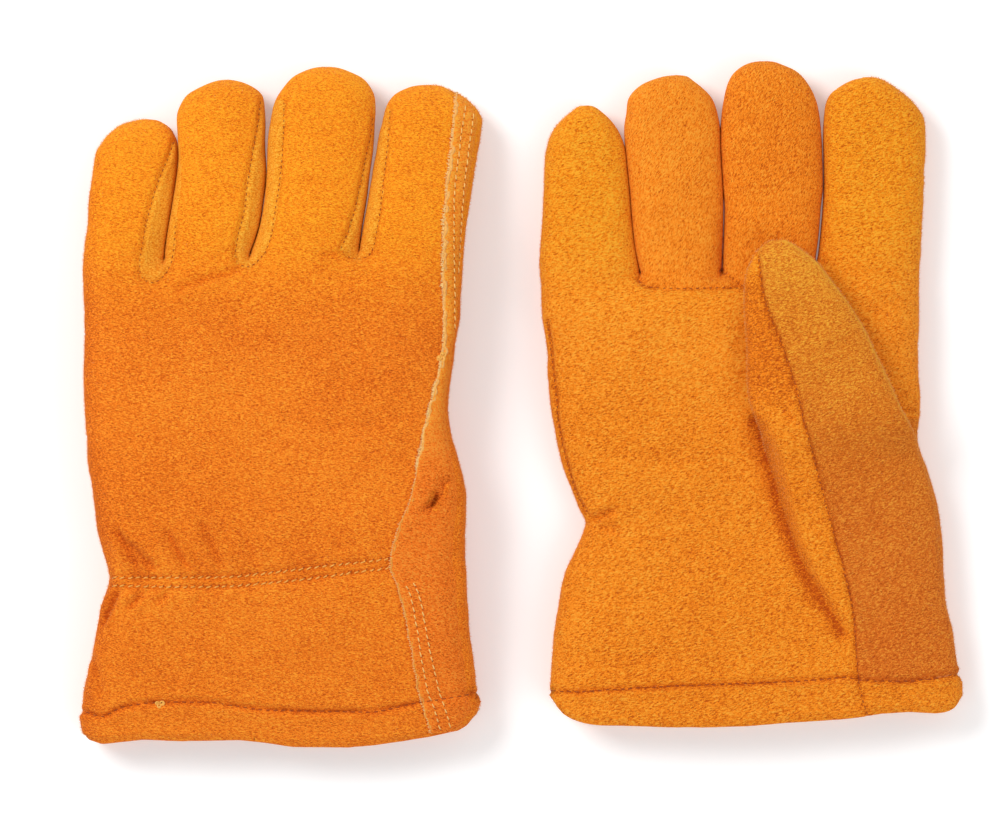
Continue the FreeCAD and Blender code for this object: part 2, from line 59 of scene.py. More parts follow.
# plan outlines, seams and creases, in millimetres in the row frame
TAB = {'left': {'L': [(-127.49, -165.87), (-124.45, -167.2), (-119.89, -167.77), (-114.19, -167.01), (-108.49, -166.63), (-102.79, -165.11),
                (-97.09, -163.97), (-91.39, -162.45), (-85.69, -161.31), (-79.99, -159.79), (-74.29, -158.65), (-68.59, -156.37), (-62.89, -156.37),
                (-57.19, -158.27), (-51.49, -160.17), (-45.79, -161.69), (-34.39, -162.83), (-22.99, -164.73), (-11.59, -165.49), (-0.19, -166.25),
                (11.21, -166.63), (28.31, -166.25), (47.31, -166.25), (59.47, -165.87)],
          'R': [(-122.17, -20.33), (-117.61, -17.67), (-112.29, -16.91), (-108.49, -17.67), (-102.79, -18.05), (-97.09, -18.81), (-91.39, -19.57),
                (-85.69, -20.33), (-79.99, -21.09), (-74.29, -21.85), (-57.19, -21.85), (-45.79, -21.85), (-40.09, -21.47), (-34.39, -21.47),
                (-28.69, -22.23), (-22.99, -23.37), (-17.29, -25.27), (-11.59, -27.36), (-5.89, -28.31), (-0.19, -28.69), (5.51, -28.12),
                (11.21, -27.17), (16.91, -25.65), (22.61, -24.89), (28.31, -24.13), (39.71, -23.37), (47.31, -22.99), (54.91, -22.23),
                (59.47, -22.04)],
          'T': [(-129.39, 11.0), (-112.29, 11.3), (-89.49, 11.0), (-71.25, 9.6), (-65.55, 8.8), (-59.09, 9.6), (-43.89, 11.2), (-5.89, 12.0),
                (28.31, 11.8), (58.71, 11)],
          'creases': [([(-105.07, 51.49), (-113.05, 49.21), (-124.45, 46.17), (-132.05, 42.75)], 1.1, 2.2),
                      ([(-78.09, 56.81), (-73.15, 56.24), (-68.21, 56.05)], 0.9, 2.0),
                      ([(-28.8, -26.4), (-31.0, -32.1), (-32.5, -35.9), (-34.8, -39.0), (-38.6, -41.2)], 1.25, 1.7), ([(-30.8, -31.5), (-32.5, -35.6), (-34.6, -38.9), (-36.2, -40.0)], 1.9, 1.35),
                      ([(-152.19, -68.97), (-155.99, -76.57), (-160.17, -84.93)], 1.6, 1.8),
                      ([(-154.85, -46.55), (-150.29, -53.77), (-145.35, -62.13)], 1.9, 2.2),
                      ([(-149.91, -51.49), (-144.21, -57.57), (-138.51, -63.27)], 1.6, 2.1),
                      ([(-135.47, -46.55), (-130.91, -55.29), (-125.59, -63.27)], 1.2, 2.3),
                      ([(-122.55, -42.75), (-117.99, -52.63), (-112.67, -62.51)], 1.1, 2.4),
                      ([(-128.25, -51.49), (-124.45, -57.57), (-120.27, -63.27)], 0.6, 1.8),
                      ([(-105.07, -49.59), (-102.79, -56.05), (-98.99, -62.13)], 0.6, 2.4),
                      ([(-88.35, -47.69), (-86.07, -54.53), (-84.55, -59.85)], 0.55, 2.4),
                      ([(-73.15, -43.89), (-70.11, -52.25), (-67.45, -58.33)], 0.5, 2.4),
                      ([(-143.07, -70.49), (-146.49, -74.29), (-150.29, -78.09)], 1.3, 1.9),
                      ([(-132.81, -70.11), (-135.85, -73.15), (-139.27, -75.81)], 1.0, 1.9),
                      ([(-120.65, -70.49), (-122.93, -74.29), (-125.21, -77.33)], 0.6, 2.0), ([(-107.35, -70.49), (-108.11, -75.05)], 0.45, 2.2),
                      ([(-88.35, -68.97), (-88.35, -74.29)], 0.45, 2.2), ([(-69.35, -66.69), (-68.21, -72.77)], 0.4, 2.2),
                      ([(-165.11, 20.71), (-145.35, 12.35), (-130.15, 9.31)], 0.35, 5.0),
                      ([(-84.55, -5.89), (-61.75, -9.69), (-38.95, -2.09)], 0.35, 5.0),
                      ([(-127.87, 96.71), (-116.85, 93.67), (-107.35, 96.71)], 0.3, 3.0),
                      ([(-94.05, 87.21), (-80.75, 83.03), (-65.55, 85.31)], 0.3, 3.5),
                      ([(-160.55, 72.01), (-152.95, 68.21), (-145.35, 72.39)], 0.35, 3.0),
                      ([(-164.35, -93.29), (-161.69, -100.89), (-159.41, -112.29)], 0.7, 2.4)],
          'crotch': [(-168.15, 54.15), (-135.85, 55.67), (-103.55, 57.19), (-62.13, 58.33), (-19.95, 59.47)],
          'crotch_x': [-135.85, -103.55, -62.13],
          'fingers': {'index': [(57.95, -62.13, -22.04), (62.89, -61.18, -21.77), (69.35, -60.04, -20.9), (77.33, -58.52, -19.57),
                                (81.51, -57.95, -19.08), (85.31, -57.19, -18.43), (89.11, -56.81, -17.94), (92.91, -56.05, -17.29),
                                (96.71, -55.29, -16.8), (100.51, -54.91, -16.15), (104.31, -54.15, -15.58), (106.59, -53.39, -15.2),
                                (108.87, -53.01, -15.01), (111.15, -52.44, -16.15), (113.43, -51.87, -18.05), (115.71, -50.73, -20.71),
                                (117.99, -48.83, -24.13), (119.13, -46.93, -26.41), (120.27, -44.65, -29.07), (121.6, -40.47, -32.11)],
                      'little': [(54.91, -165.87, -135.85), (60.99, -165.87, -135.47), (69.73, -165.11, -133.95), (78.47, -164.35, -132.62),
                                 (85.31, -163.59, -131.67), (87.97, -163.4, -131.29), (92.91, -162.83, -130.91), (96.71, -162.45, -131.1),
                                 (100.51, -159.79, -131.67), (102.41, -158.27, -132.81), (104.31, -155.99, -133.57), (105.45, -154.47, -134.71),
                                 (106.59, -152.95, -136.23), (107.73, -148.77, -138.51), (108.3, -145.73, -140.03)],
                      'middle': [(56.81, -103.55, -62.13), (62.89, -101.08, -61.56), (69.35, -99.18, -60.61), (77.33, -98.04, -59.28),
                                 (84.55, -97.28, -58.52), (89.11, -97.09, -57.95), (92.91, -96.94, -57.38), (96.71, -96.86, -56.89),
                                 (100.51, -96.71, -56.58), (104.31, -96.33, -56.43), (106.59, -95.95, -56.32), (108.87, -95.57, -56.16),
                                 (111.15, -95.19, -56.05), (113.43, -94.81, -56.05), (115.71, -94.05, -56.05), (117.99, -92.91, -56.43),
                                 (120.27, -91.39, -57.57), (122.55, -89.49, -59.09), (124.83, -87.59, -61.37), (127.11, -82.65, -67.07),
                                 (128.44, -78.47, -70.87)],
                      'ring': [(56.43, -135.85, -103.55), (62.89, -135.09, -101.27), (69.35, -133.95, -99.37), (77.33, -132.62, -98.23),
                               (84.55, -131.67, -97.47), (89.11, -131.1, -97.36), (92.91, -130.72, -97.7), (96.71, -130.72, -98.04),
                               (100.51, -131.02, -98.15), (104.31, -131.29, -98.04), (106.59, -131.52, -98.0), (108.87, -131.67, -98.12),
                               (111.15, -131.48, -98.23), (113.43, -130.53, -98.42), (115.71, -129.39, -98.61), (117.99, -127.87, -99.18),
                               (120.27, -123.69, -101.65), (122.55, -118.75, -106.21), (123.5, -115.33, -110.77)]},
          'fork_polys': [[(-132.43, 99.75), (-132.81, 100.51), (-133.95, 94.81), (-136.61, 89.11), (-138.51, 83.41), (-140.41, 77.33),
                          (-141.93, 70.87), (-143.07, 65.17), (-144.21, 58.33), (-144.97, 52.25), (-144.59, 48.83), (-142.69, 46.55),
                          (-139.65, 45.79), (-136.23, 47.69), (-133.95, 51.11), (-132.43, 55.29), (-131.86, 60.99), (-131.48, 68.21),
                          (-130.53, 75.81), (-129.58, 85.31), (-129.96, 92.91), (-130.15, 99.75)],
                         [(-98.61, 116.47), (-99.75, 115.71), (-100.51, 106.59), (-102.03, 98.23), (-103.17, 90.25), (-104.31, 83.41),
                          (-104.69, 77.33), (-105.83, 70.49), (-107.73, 64.03), (-108.87, 56.43), (-107.73, 53.39), (-103.55, 51.3), (-98.23, 56.05),
                          (-95.57, 60.99), (-94.43, 68.21), (-93.29, 75.81), (-92.15, 83.41), (-91.39, 91.39), (-90.63, 102.03), (-90.63, 107.35),
                          (-90.63, 115.33), (-95.95, 116.47)],
                         [(-56.43, 115.71), (-56.81, 109.63), (-57.57, 103.17), (-59.09, 95.57), (-60.61, 87.97), (-62.13, 79.61), (-64.03, 71.63),
                          (-65.93, 65.17), (-67.45, 61.75), (-68.97, 58.33), (-65.17, 55.29), (-60.99, 54.91), (-57.57, 56.43), (-56.05, 60.99),
                          (-54.53, 68.21), (-53.39, 77.33), (-52.63, 85.69), (-51.49, 94.81), (-50.73, 103.17), (-50.35, 112.29), (-52.25, 115.71)]],
          'fork_seams': [[(-132.81, 100.51), (-133.95, 94.81), (-136.61, 89.11), (-138.51, 83.41), (-140.41, 77.33), (-141.93, 70.87),
                          (-143.07, 65.17), (-144.21, 58.33), (-144.97, 52.25), (-144.59, 48.83), (-142.69, 46.55), (-139.65, 45.79),
                          (-136.23, 47.69), (-133.95, 51.11), (-132.43, 55.29), (-131.86, 60.99), (-131.48, 68.21)],
                         [(-99.75, 115.71), (-100.51, 106.59), (-102.03, 98.23), (-103.17, 90.25), (-104.31, 83.41), (-104.69, 77.33),
                          (-105.83, 70.49), (-107.73, 64.03), (-108.87, 56.43), (-107.73, 53.39), (-103.55, 51.3), (-98.23, 56.05), (-95.57, 60.99),
                          (-94.43, 68.21), (-93.29, 75.81), (-92.15, 83.41), (-91.39, 91.39), (-90.63, 102.03), (-90.63, 107.35), (-90.63, 115.33)],
                         [(-56.81, 109.63), (-57.57, 103.17), (-59.09, 95.57), (-60.61, 87.97), (-62.13, 79.61), (-64.03, 71.63), (-65.93, 65.17),
                          (-67.45, 61.75), (-68.97, 58.33), (-65.17, 55.29), (-60.99, 54.91), (-57.57, 56.43), (-56.05, 60.99), (-54.53, 68.21),
                          (-53.39, 77.33), (-52.63, 85.69), (-51.49, 94.81), (-50.73, 103.17), (-50.35, 112.29)]],
          'hem': [(-167.77, -125.59), (-165.87, -127.68), (-161.31, -129.2), (-155.99, -128.63), (-145.35, -127.49), (-129.39, -127.87),
                  (-118.75, -127.87), (-108.11, -127.68), (-97.47, -128.82), (-86.83, -130.15), (-65.55, -130.34), (-54.91, -129.39),
                  (-44.27, -127.87), (-33.63, -126.16), (-28.31, -125.02), (-23.75, -124.07), (-20.71, -122.17), (-18.05, -118.37),
                  (-16.15, -112.29)],
          'hem_row': [(-166.63, -116.85), (-164.35, -117.61), (-160.17, -118.75), (-157.51, -117.99), (-154.09, -115.71), (-150.67, -114.57),
                      (-144.59, -113.43), (-137.75, -113.05), (-127.49, -112.67), (-117.23, -113.05), (-106.97, -114.76), (-100.51, -115.71),
                      (-94.81, -116.09), (-76.57, -116.47), (-58.33, -116.85), (-52.25, -116.09), (-46.17, -114.57), (-39.71, -113.24),
                      (-32.87, -112.1), (-25.27, -110.96), (-16.91, -109.63)],
          'knot': (-30.21, 18.43),
          'lap': [(-26.41, 118.75), (-25.65, 116.47), (-25.27, 109.25), (-26.79, 101.27), (-27.55, 91.39), (-28.69, 85.31), (-28.69, 78.47),
                  (-29.45, 69.73), (-29.83, 55.29), (-29.83, 40.09), (-29.07, 29.83), (-30.21, 18.81), (-31.73, 11.21), (-33.63, 3.99),
                  (-35.91, -5.13), (-38.19, -15.39), (-39.71, -22.23), (-41.23, -30.21), (-41.99, -35.53), (-44.65, -41.61), (-48.07, -49.59),
                  (-50.35, -59.47), (-49.59, -64.03), (-46.55, -70.49), (-44.65, -80.37), (-42.37, -90.63), (-40.47, -101.27), (-38.95, -109.63),
                  (-37.81, -113.43), (-35.53, -122.55), (-34.77, -126.35)],
          'lap_rows': [[(-21.47, 114.19), (-22.99, 105.45), (-24.13, 94.81), (-25.27, 86.83), (-26.03, 78.47), (-26.03, 60.99), (-25.65, 47.31),
                        (-25.65, 28.31)],
                       [(-18.43, 111.15), (-19.76, 102.03), (-21.09, 91.39), (-22.04, 84.55), (-22.61, 77.33), (-23.37, 67.07), (-23.75, 57.57),
                        (-24.32, 49.21)],
                       [(-44.27, -67.83), (-42.37, -72.01), (-41.23, -78.09), (-39.71, -86.07), (-38.57, -95.19), (-37.05, -102.79),
                        (-36.29, -108.49), (-33.63, -114.57), (-32.11, -120.65), (-30.97, -124.07)],
                       [(-41.61, -66.69), (-39.33, -71.25), (-37.81, -78.09), (-36.29, -87.21), (-34.77, -95.19), (-33.25, -101.27),
                        (-32.11, -107.35), (-30.21, -113.05), (-27.93, -120.27), (-27.17, -123.31)]],
          'lint': (-53.01, -86.45),
          'tuft': (-137.75, -113.43),
          'wrist_rows': [[(-155.99, -65.55), (-137.75, -65.55), (-111.15, -65.55), (-94.81, -63.65), (-76.57, -61.37), (-61.37, -59.85),
                          (-49.97, -58.33)],
                         [(-155.99, -68.59), (-125.59, -69.16), (-111.15, -68.97), (-94.81, -67.45), (-76.57, -65.55), (-61.37, -63.27),
                          (-49.59, -61.75)]]},
 'long_seam': [(89.11, 55.67), (89.49, 53.39), (90.25, 46.17), (91.77, 37.81), (94.05, 32.11), (97.09, 25.65), (99.37, 18.43), (102.03, 10.45),
               (103.55, 5.89), (105.07, -0.95), (106.59, -8.17), (109.63, -18.43), (112.29, -28.31), (115.33, -39.71), (119.51, -54.15),
               (122.93, -66.31), (125.21, -76.57), (126.35, -85.69), (126.92, -95.19), (127.49, -104.31), (129.01, -112.29), (131.29, -118.37)],
 'notch': [(144.21, -1.52), (149.91, -1.9)],
 'right': {'L': [(-112.29, 11.59), (-108.49, 11.02), (-102.79, 10.64), (-97.09, 10.83), (-91.39, 11.4), (-85.69, 11.97), (-79.99, 13.11),
                 (-74.29, 13.87), (-68.59, 15.01), (-62.89, 16.72), (-57.19, 19.0), (-51.49, 22.04), (-47.69, 23.56), (-44.65, 24.51),
                 (-42.37, 23.75), (-39.33, 21.85), (-34.39, 19.76), (-28.69, 17.86), (-22.99, 15.58), (-17.29, 14.25), (-11.59, 13.11),
                 (-5.89, 12.35), (-0.19, 11.21), (5.51, 10.83), (11.21, 10.07), (16.91, 9.69), (22.61, 9.31), (28.31, 8.17), (34.01, 7.41),
                 (39.71, 7.03), (48.83, 6.84)],
           'R': [(-114.19, 166.25), (-108.49, 167.01), (-102.79, 166.25), (-97.09, 165.3), (-91.39, 164.35), (-85.69, 163.59), (-79.99, 162.45),
                 (-74.29, 161.31), (-68.59, 160.93), (-62.89, 160.17), (-57.19, 159.41), (-45.79, 159.03), (-40.09, 158.27), (-34.39, 156.94),
                 (-28.69, 155.23), (-22.99, 152.95), (-17.29, 150.86), (-11.59, 150.1), (-5.89, 151.05), (-0.19, 151.24), (5.51, 151.05),
                 (11.21, 150.67), (22.61, 150.67), (39.71, 150.86), (55.67, 151.43)],
           'T': [(-122.55, 11.0), (-108.49, 11.3), (-81.89, 11.2), (-59.09, 10.6), (-44.27, 9.8), (-28.69, 11.0), (1.71, 11.9), (32.11, 11.7),
                 (53.01, 11)],
           'creases': [([(24.89, -43.89), (29.45, -42.75), (36.29, -39.33)], 1.6, 2.4),
                       ([(25.65, -45.41), (31.73, -47.69), (37.81, -46.93)], 0.9, 2.6),
                       ([(14.25, -9.69), (18.81, -11.97), (25.65, -10.45)], 0.4, 3.0),
                       ([(12.73, -74.29), (29.45, -72.01), (44.65, -74.29)], 0.35, 5.0),
                       ([(29.45, -17.29), (52.25, -21.85), (75.05, -18.05)], 0.3, 6.0),
                       ([(80.75, 108.11), (94.05, 105.07), (109.25, 107.35)], 0.35, 3.5),
                       ([(14.25, 77.71), (23.75, 75.43), (35.15, 77.71)], 0.3, 3.5), ([(48.45, 81.51), (59.85, 79.23), (69.73, 81.51)], 0.3, 3.5),
                       ([(120.65, 39.71), (133.95, 35.91), (145.35, 39.71)], 0.4, 4.0),
                       ([(116.85, 81.51), (132.05, 79.23), (148.01, 81.51)], 0.3, 3.5),
                       ([(18.05, -93.29), (29.45, -97.09), (52.25, -95.19)], 0.3, 5.0),
                       ([(85.69, -9.69), (89.11, -18.05), (91.77, -25.65)], 0.5, 3.0)],
           'crotch': [(4.75, 48.45), (45.03, 50.35), (75.81, 50.92), (111.91, 54.53), (152.95, 55.67)],
           'crotch_x': [45.03, 75.81, 111.91],
           'fingers': {'index': [(54.15, 111.91, 151.43), (62.13, 113.05, 151.81), (70.87, 113.81, 152.19), (81.51, 114.57, 152.95),
                                 (97.47, 114.3, 153.82), (104.31, 114.19, 153.71), (108.87, 114.46, 152.95), (111.15, 114.65, 151.81),
                                 (113.43, 115.03, 150.14), (115.71, 115.9, 148.01), (117.99, 117.23, 145.35), (120.27, 120.27, 141.93),
                                 (122.55, 124.07, 138.13), (123.88, 128.25, 134.71)],
                       'little': [(48.83, 6.84, 45.03), (60.23, 7.03, 42.75), (70.87, 7.41, 41.61), (81.51, 8.17, 40.85), (92.15, 8.55, 39.71),
                                  (96.71, 8.93, 39.33), (100.51, 9.69, 38.19), (104.31, 11.59, 36.48), (106.59, 13.49, 34.77), (108.87, 15.39, 33.06),
                                  (111.15, 18.81, 30.21), (112.67, 20.33, 28.31), (113.62, 21.85, 26.41)],
                       'middle': [(50.35, 75.81, 111.68), (54.53, 75.96, 111.91), (62.13, 76.19, 113.05), (70.87, 76.57, 113.81),
                                  (81.51, 76.57, 114.57), (97.47, 75.51, 114.19), (104.31, 75.51, 113.81), (108.87, 75.77, 113.43),
                                  (111.15, 76.11, 113.05), (113.43, 76.34, 112.59), (115.71, 76.8, 111.91), (117.99, 77.22, 111.0),
                                  (120.27, 77.71, 109.82), (122.55, 78.47, 108.3), (124.83, 79.61, 106.59), (127.11, 81.51, 104.31),
                                  (129.39, 84.93, 98.23), (130.53, 88.73, 95.57)],
                       'ring': [(49.59, 45.03, 75.81), (60.23, 42.75, 76.19), (70.87, 41.61, 76.57), (81.51, 40.85, 76.57), (92.15, 39.71, 75.81),
                                (96.71, 39.33, 75.51), (104.31, 38.8, 75.43), (106.59, 38.95, 75.24), (108.87, 39.41, 74.78), (111.15, 39.86, 74.29),
                                (113.43, 39.94, 73.53), (115.71, 40.09, 72.77), (117.99, 41.23, 71.25), (120.27, 43.51, 68.59),
                                (122.55, 46.93, 65.55), (124.07, 51.49, 63.65), (125.02, 55.67, 62.13)]},
           'hem': [(10.45, -108.49), (11.4, -112.29), (12.73, -115.33), (15.01, -117.99), (18.05, -119.89), (21.85, -121.22), (26.41, -121.9),
                   (36.29, -122.17), (52.25, -122.74), (68.21, -122.85), (84.17, -122.36), (100.13, -121.22), (110.77, -120.38), (121.41, -119.81),
                   (126.73, -119.13), (132.05, -118.37), (137.37, -117.42), (148.01, -116.85), (158.65, -117.53), (162.45, -117.04),
                   (165.11, -115.71), (166.63, -113.43), (167.2, -110.01)],
           'hem_row': [(10.45, -108.87), (18.05, -109.25), (24.51, -109.06), (40.85, -107.92), (57.19, -106.97), (79.23, -106.02), (100.89, -105.45),
                       (116.09, -104.31), (123.31, -103.55), (128.25, -104.5), (138.51, -105.26), (150.67, -104.88), (157.89, -103.93),
                       (167.01, -102.41)],
           'left_seam': [(9.31, 32.11), (10.83, 20.71), (11.97, 11.21), (13.11, 2.47), (13.49, -5.89), (15.39, -15.77), (17.29, -22.99),
                         (20.33, -33.25), (22.99, -38.57), (25.27, -41.61)],
           'small_seam': [(75.81, 50.73), (78.47, 48.83), (81.13, 46.93), (84.55, 44.27)],
           'two_poly': [(45.03, 50.35), (43.89, 47.69), (45.41, 45.79), (47.69, 44.65), (51.49, 44.27), (56.05, 44.04), (66.69, 44.12),
                        (75.43, 44.57), (83.41, 44.08), (105.45, 43.51), (111.91, 54.53), (75.81, 51.11)],
           'two_seam': [(43.89, 47.69), (45.41, 45.79), (47.69, 44.65), (51.49, 44.27), (56.05, 44.04), (66.69, 44.12), (75.43, 44.57),
                        (83.41, 44.08), (90.25, 43.89)]},
 'thumb_crease': [([(95.19, 0.95), (99.37, -2.47), (104.31, -7.41)], 1.3, 1.9), ([(101.65, -24.89), (104.31, -32.49), (106.59, -40.09)], 0.5, 3.0),
                  ([(124.45, 28.31), (118.75, 20.71), (113.05, 16.15)], 0.35, 4.0)],
 'thumb_l': [(-89.49, 122.93), (-81.51, 118.37), (-72.01, 111.91), (-64.79, 107.35), (-52.63, 102.03), (-39.71, 98.23), (-27.55, 94.81),
             (-18.43, 92.34), (-9.31, 89.87), (-2.85, 87.21), (2.47, 85.31), (8.55, 84.74), (23.75, 84.17), (32.87, 83.79), (41.99, 83.79),
             (48.07, 84.36), (52.25, 85.69), (55.67, 87.4), (59.47, 89.87), (60.61, 91.01), (61.75, 92.91), (62.32, 94.81)],
 'thumb_r': [(-89.49, 163.21), (-79.99, 161.69), (-68.59, 160.17), (-57.19, 158.65), (-45.79, 158.27), (-40.09, 157.51), (-34.39, 156.18),
             (-28.69, 154.47), (-22.99, 152.38), (-17.29, 150.29), (-10.45, 148.96), (-6.65, 146.87), (-1.71, 144.21), (8.55, 139.27),
             (17.67, 134.71), (29.83, 129.01), (39.71, 122.93), (46.17, 117.61), (54.15, 111.53), (59.09, 104.5), (60.61, 102.41), (61.75, 100.51),
             (62.32, 98.99)]}

# ------------------------------------------------------------------ helpers
MM = 0.001


def sstep(x):
    x = np.clip(x, 0.0, 1.0)
    return x * x * (3.0 - 2.0 * x)


def softplus(x, w=3.0):
    return np.where(x > 8 * w, x, w * np.log1p(np.exp(np.clip(x / w, -30, 30))))


def lattice(ix, iy, iz, seed):
    n = (ix.astype(np.int64) * 374761393 + iy.astype(np.int64) * 668265263
         + iz.astype(np.int64) * 2147483647 + seed * 974634777) & 0x7FFFFFFF
    n = ((n ^ (n >> 13)) * 1274126177) & 0x7FFFFFFF
    n = ((n ^ (n >> 16)) * 1911520717) & 0x7FFFFFFF
    return (n & 0xFFFFF) / float(0xFFFFF) * 2.0 - 1.0


def noise3(p, scale, seed=0):
    """Smooth value noise, -1..1, features about scale mm wide."""
    q = p / scale
    i = np.floor(q).astype(np.int64)
    f = q - i
    f = f * f * (3 - 2 * f)
    out = 0.0
    for dx in (0, 1):
        for dy in (0, 1):
            for dz in (0, 1):
                w = (f[:, 0] if dx else 1 - f[:, 0]) * (f[:, 1] if dy else 1 - f[:, 1]) * (f[:, 2] if dz else 1 - f[:, 2])
                out = out + w * lattice(i[:, 0] + dx, i[:, 1] + dy, i[:, 2] + dz, seed)
    return out


def line_distance(px, py, line):
    """Distance to a polyline, arc length along it and the side (+ is left of its direction)."""
    best = np.full(px.shape, 1e9)
    along = np.zeros(px.shape)
    side = np.ones(px.shape)
    run = 0.0
    for (ax, ay), (bx, by) in zip(line, line[1:]):
        dx, dy = bx - ax, by - ay
        n = math.hypot(dx, dy) or 1e-9
        t = np.clip(((px - ax) * dx + (py - ay) * dy) / (n * n), 0, 1)
        d = np.hypot(px - ax - t * dx, py - ay - t * dy)
        hit = d < best
        best = np.where(hit, d, best)
        along = np.where(hit, run + t * n, along)
        side = np.where(hit, np.sign(dx * (py - ay) - dy * (px - ax)), side)
        run += n
    return best, along, side, run


def inside(px, py, poly):
    out = np.zeros(px.shape, bool)
    n = len(poly)
    for i in range(n):
        (ax, ay), (bx, by) = poly[i], poly[(i + 1) % n]
        if ay == by:
            continue
        cross = ((ay > py) != (by > py)) & (px < (bx - ax) * (py - ay) / (by - ay) + ax)
        out ^= cross
    return out


def smooth_line(line, step=0.8, rounds=2):
    """Corner-cut polyline, resampled at even steps."""
    pts = np.array(line, float)
    for _ in range(rounds):
        a, b = pts[:-1], pts[1:]
        mid = np.empty((len(a) * 2, 2))
        mid[0::2] = a * 0.75 + b * 0.25
        mid[1::2] = a * 0.25 + b * 0.75
        pts = np.vstack([pts[:1], mid, pts[-1:]])
    seg = np.hypot(*(pts[1:] - pts[:-1]).T)
    s = np.concatenate([[0], np.cumsum(seg)])
    n = max(2, int(round(s[-1] / step)) + 1)
    t = np.linspace(0, s[-1], n)
    return np.column_stack([np.interp(t, s, pts[:, 0]), np.interp(t, s, pts[:, 1])])


def interp(table, y, col=1):
    t = np.array(table, float)
    return np.interp(y, t[:, 0], t[:, col])


def make_object(name, verts, faces, mats, attrs=None, smooth=True, slot=None):
    mesh = bpy.data.meshes.new(name)
    mesh.from_pydata((np.asarray(verts, float) * MM).tolist(), [], [list(map(int, f)) for f in faces])
    mesh.validate()
    for m in mats:
        mesh.materials.append(m)
    if smooth:
        mesh.shade_smooth()
    if attrs:
        for key, values in attrs.items():
            if len(values) == len(mesh.vertices):
                a = mesh.attributes.new(key, "FLOAT", "POINT")
                a.data.foreach_set("value", np.asarray(values, np.float32))
    ob = bpy.data.objects.new(name, mesh)
    bpy.context.scene.collection.objects.link(ob)
    return ob


def vertex_normals(V, F):
    a, b, c, d = V[F[:, 0]], V[F[:, 1]], V[F[:, 2]], V[F[:, 3]]
    n = np.cross(c - a, d - b)
    N = np.zeros_like(V)
    for k in range(4):
        np.add.at(N, F[:, k], n)
    return N / np.maximum(np.linalg.norm(N, axis=1), 1e-9)[:, None]


def neighbours(F, count):
    e = np.vstack([F[:, [0, 1]], F[:, [1, 2]], F[:, [2, 3]], F[:, [3, 0]]])
    e = e[e[:, 0] != e[:, 1]]
    e = np.vstack([e, e[:, ::-1]])
    e = np.unique(e, axis=0)
    deg = np.bincount(e[:, 0], minlength=count).astype(float)
    return e, np.maximum(deg, 1)


def relax(V, e, deg, k, rounds, mask=None):
    for _ in range(rounds):
        s = np.zeros_like(V)
        np.add.at(s, e[:, 0], V[e[:, 1]])
        m = s / deg[:, None]
        step = k * (m - V)
        if mask is not None:
            step *= mask[:, None]
        V = V + step
    return V


def weld(V, F, data, tol=0.004):
    key = np.round(V / tol).astype(np.int64)
    _, first, inv = np.unique(key, axis=0, return_index=True, return_inverse=True)
    inv = inv.reshape(-1)
    F = inv[F]
    return V[first], F, {k: v[first] for k, v in data.items()}


# ------------------------------------------------------------------- gloves
HAND_H = 11.5
NC = 34           # columns over one finger
ROLL = 1.5        # radius of the turned edge of the hem
LEATHER = 1.25


class Glove:
    pass


def digit_frame(side, name):
    j = JOINT["%s_%s_base_bend" % (side, name)]
    k = JOINT["%s_%s_tip_bend" % (side, name)]
    axis = np.array(j["axis"], float)
    up = 1.0 if side == "right" else -1.0
    lateral = axis * up
    direction = np.array([-lateral[1], lateral[0]])      # plan direction towards the tip
    direction /= np.linalg.norm(direction)
    K = np.array(j["pos_m"]) * 1000.0
    M = np.array(k["pos_m"]) * 1000.0
    return K, M, direction


def section(u, p, q):
    return np.power(np.clip(1.0 - np.abs(2 * u - 1) ** p, 0, 1), 1.0 / q)


def finger_grid(tab, crotch, t_half, z_mid, rows=64):
    """Plan positions and section heights of one finger, crotch row first."""
    n = NC
    lin = np.arange(n + 1) / n
    cosn = 0.5 * (1 - np.cos(np.pi * lin))
    u = 0.45 * lin + 0.55 * cosn
    t = np.arange(rows + 1) / rows
    g = np.where(t < 0.72, t / 0.72 * 0.80, 0.80 + 0.20 * np.sin((t - 0.72) / 0.28 * np.pi / 2))
    ytip = tab[-1][0]
    X = np.zeros((rows + 1, n + 1))
    Y = np.zeros((rows + 1, n + 1))
    cx = np.array([c[0] for c in crotch])
    cy = np.array([c[1] for c in crotch])
    for r in range(rows + 1):
        x = np.linspace(tab[0][1], tab[0][2], n + 1)
        for _ in range(4):
            yc = np.interp(x, cx, cy)
            y = yc + (ytip - yc) * g[r]
            xl, xr = interp(tab, y, 1), interp(tab, y, 2)
            x = xl + u * (xr - xl)
        X[r], Y[r] = x, y
    D = 15.0
    e = np.clip((Y - (ytip - D)) / D, 0, 1)
    T = t_half * np.power(np.clip(1 - e ** 2.6, 0, 1), 1 / 2.2)
    ST = section(u, 2.7, 2.15)[None, :]
    SB = section(u, 3.6, 2.3)[None, :]
    return X, Y, T, ST, SB, u


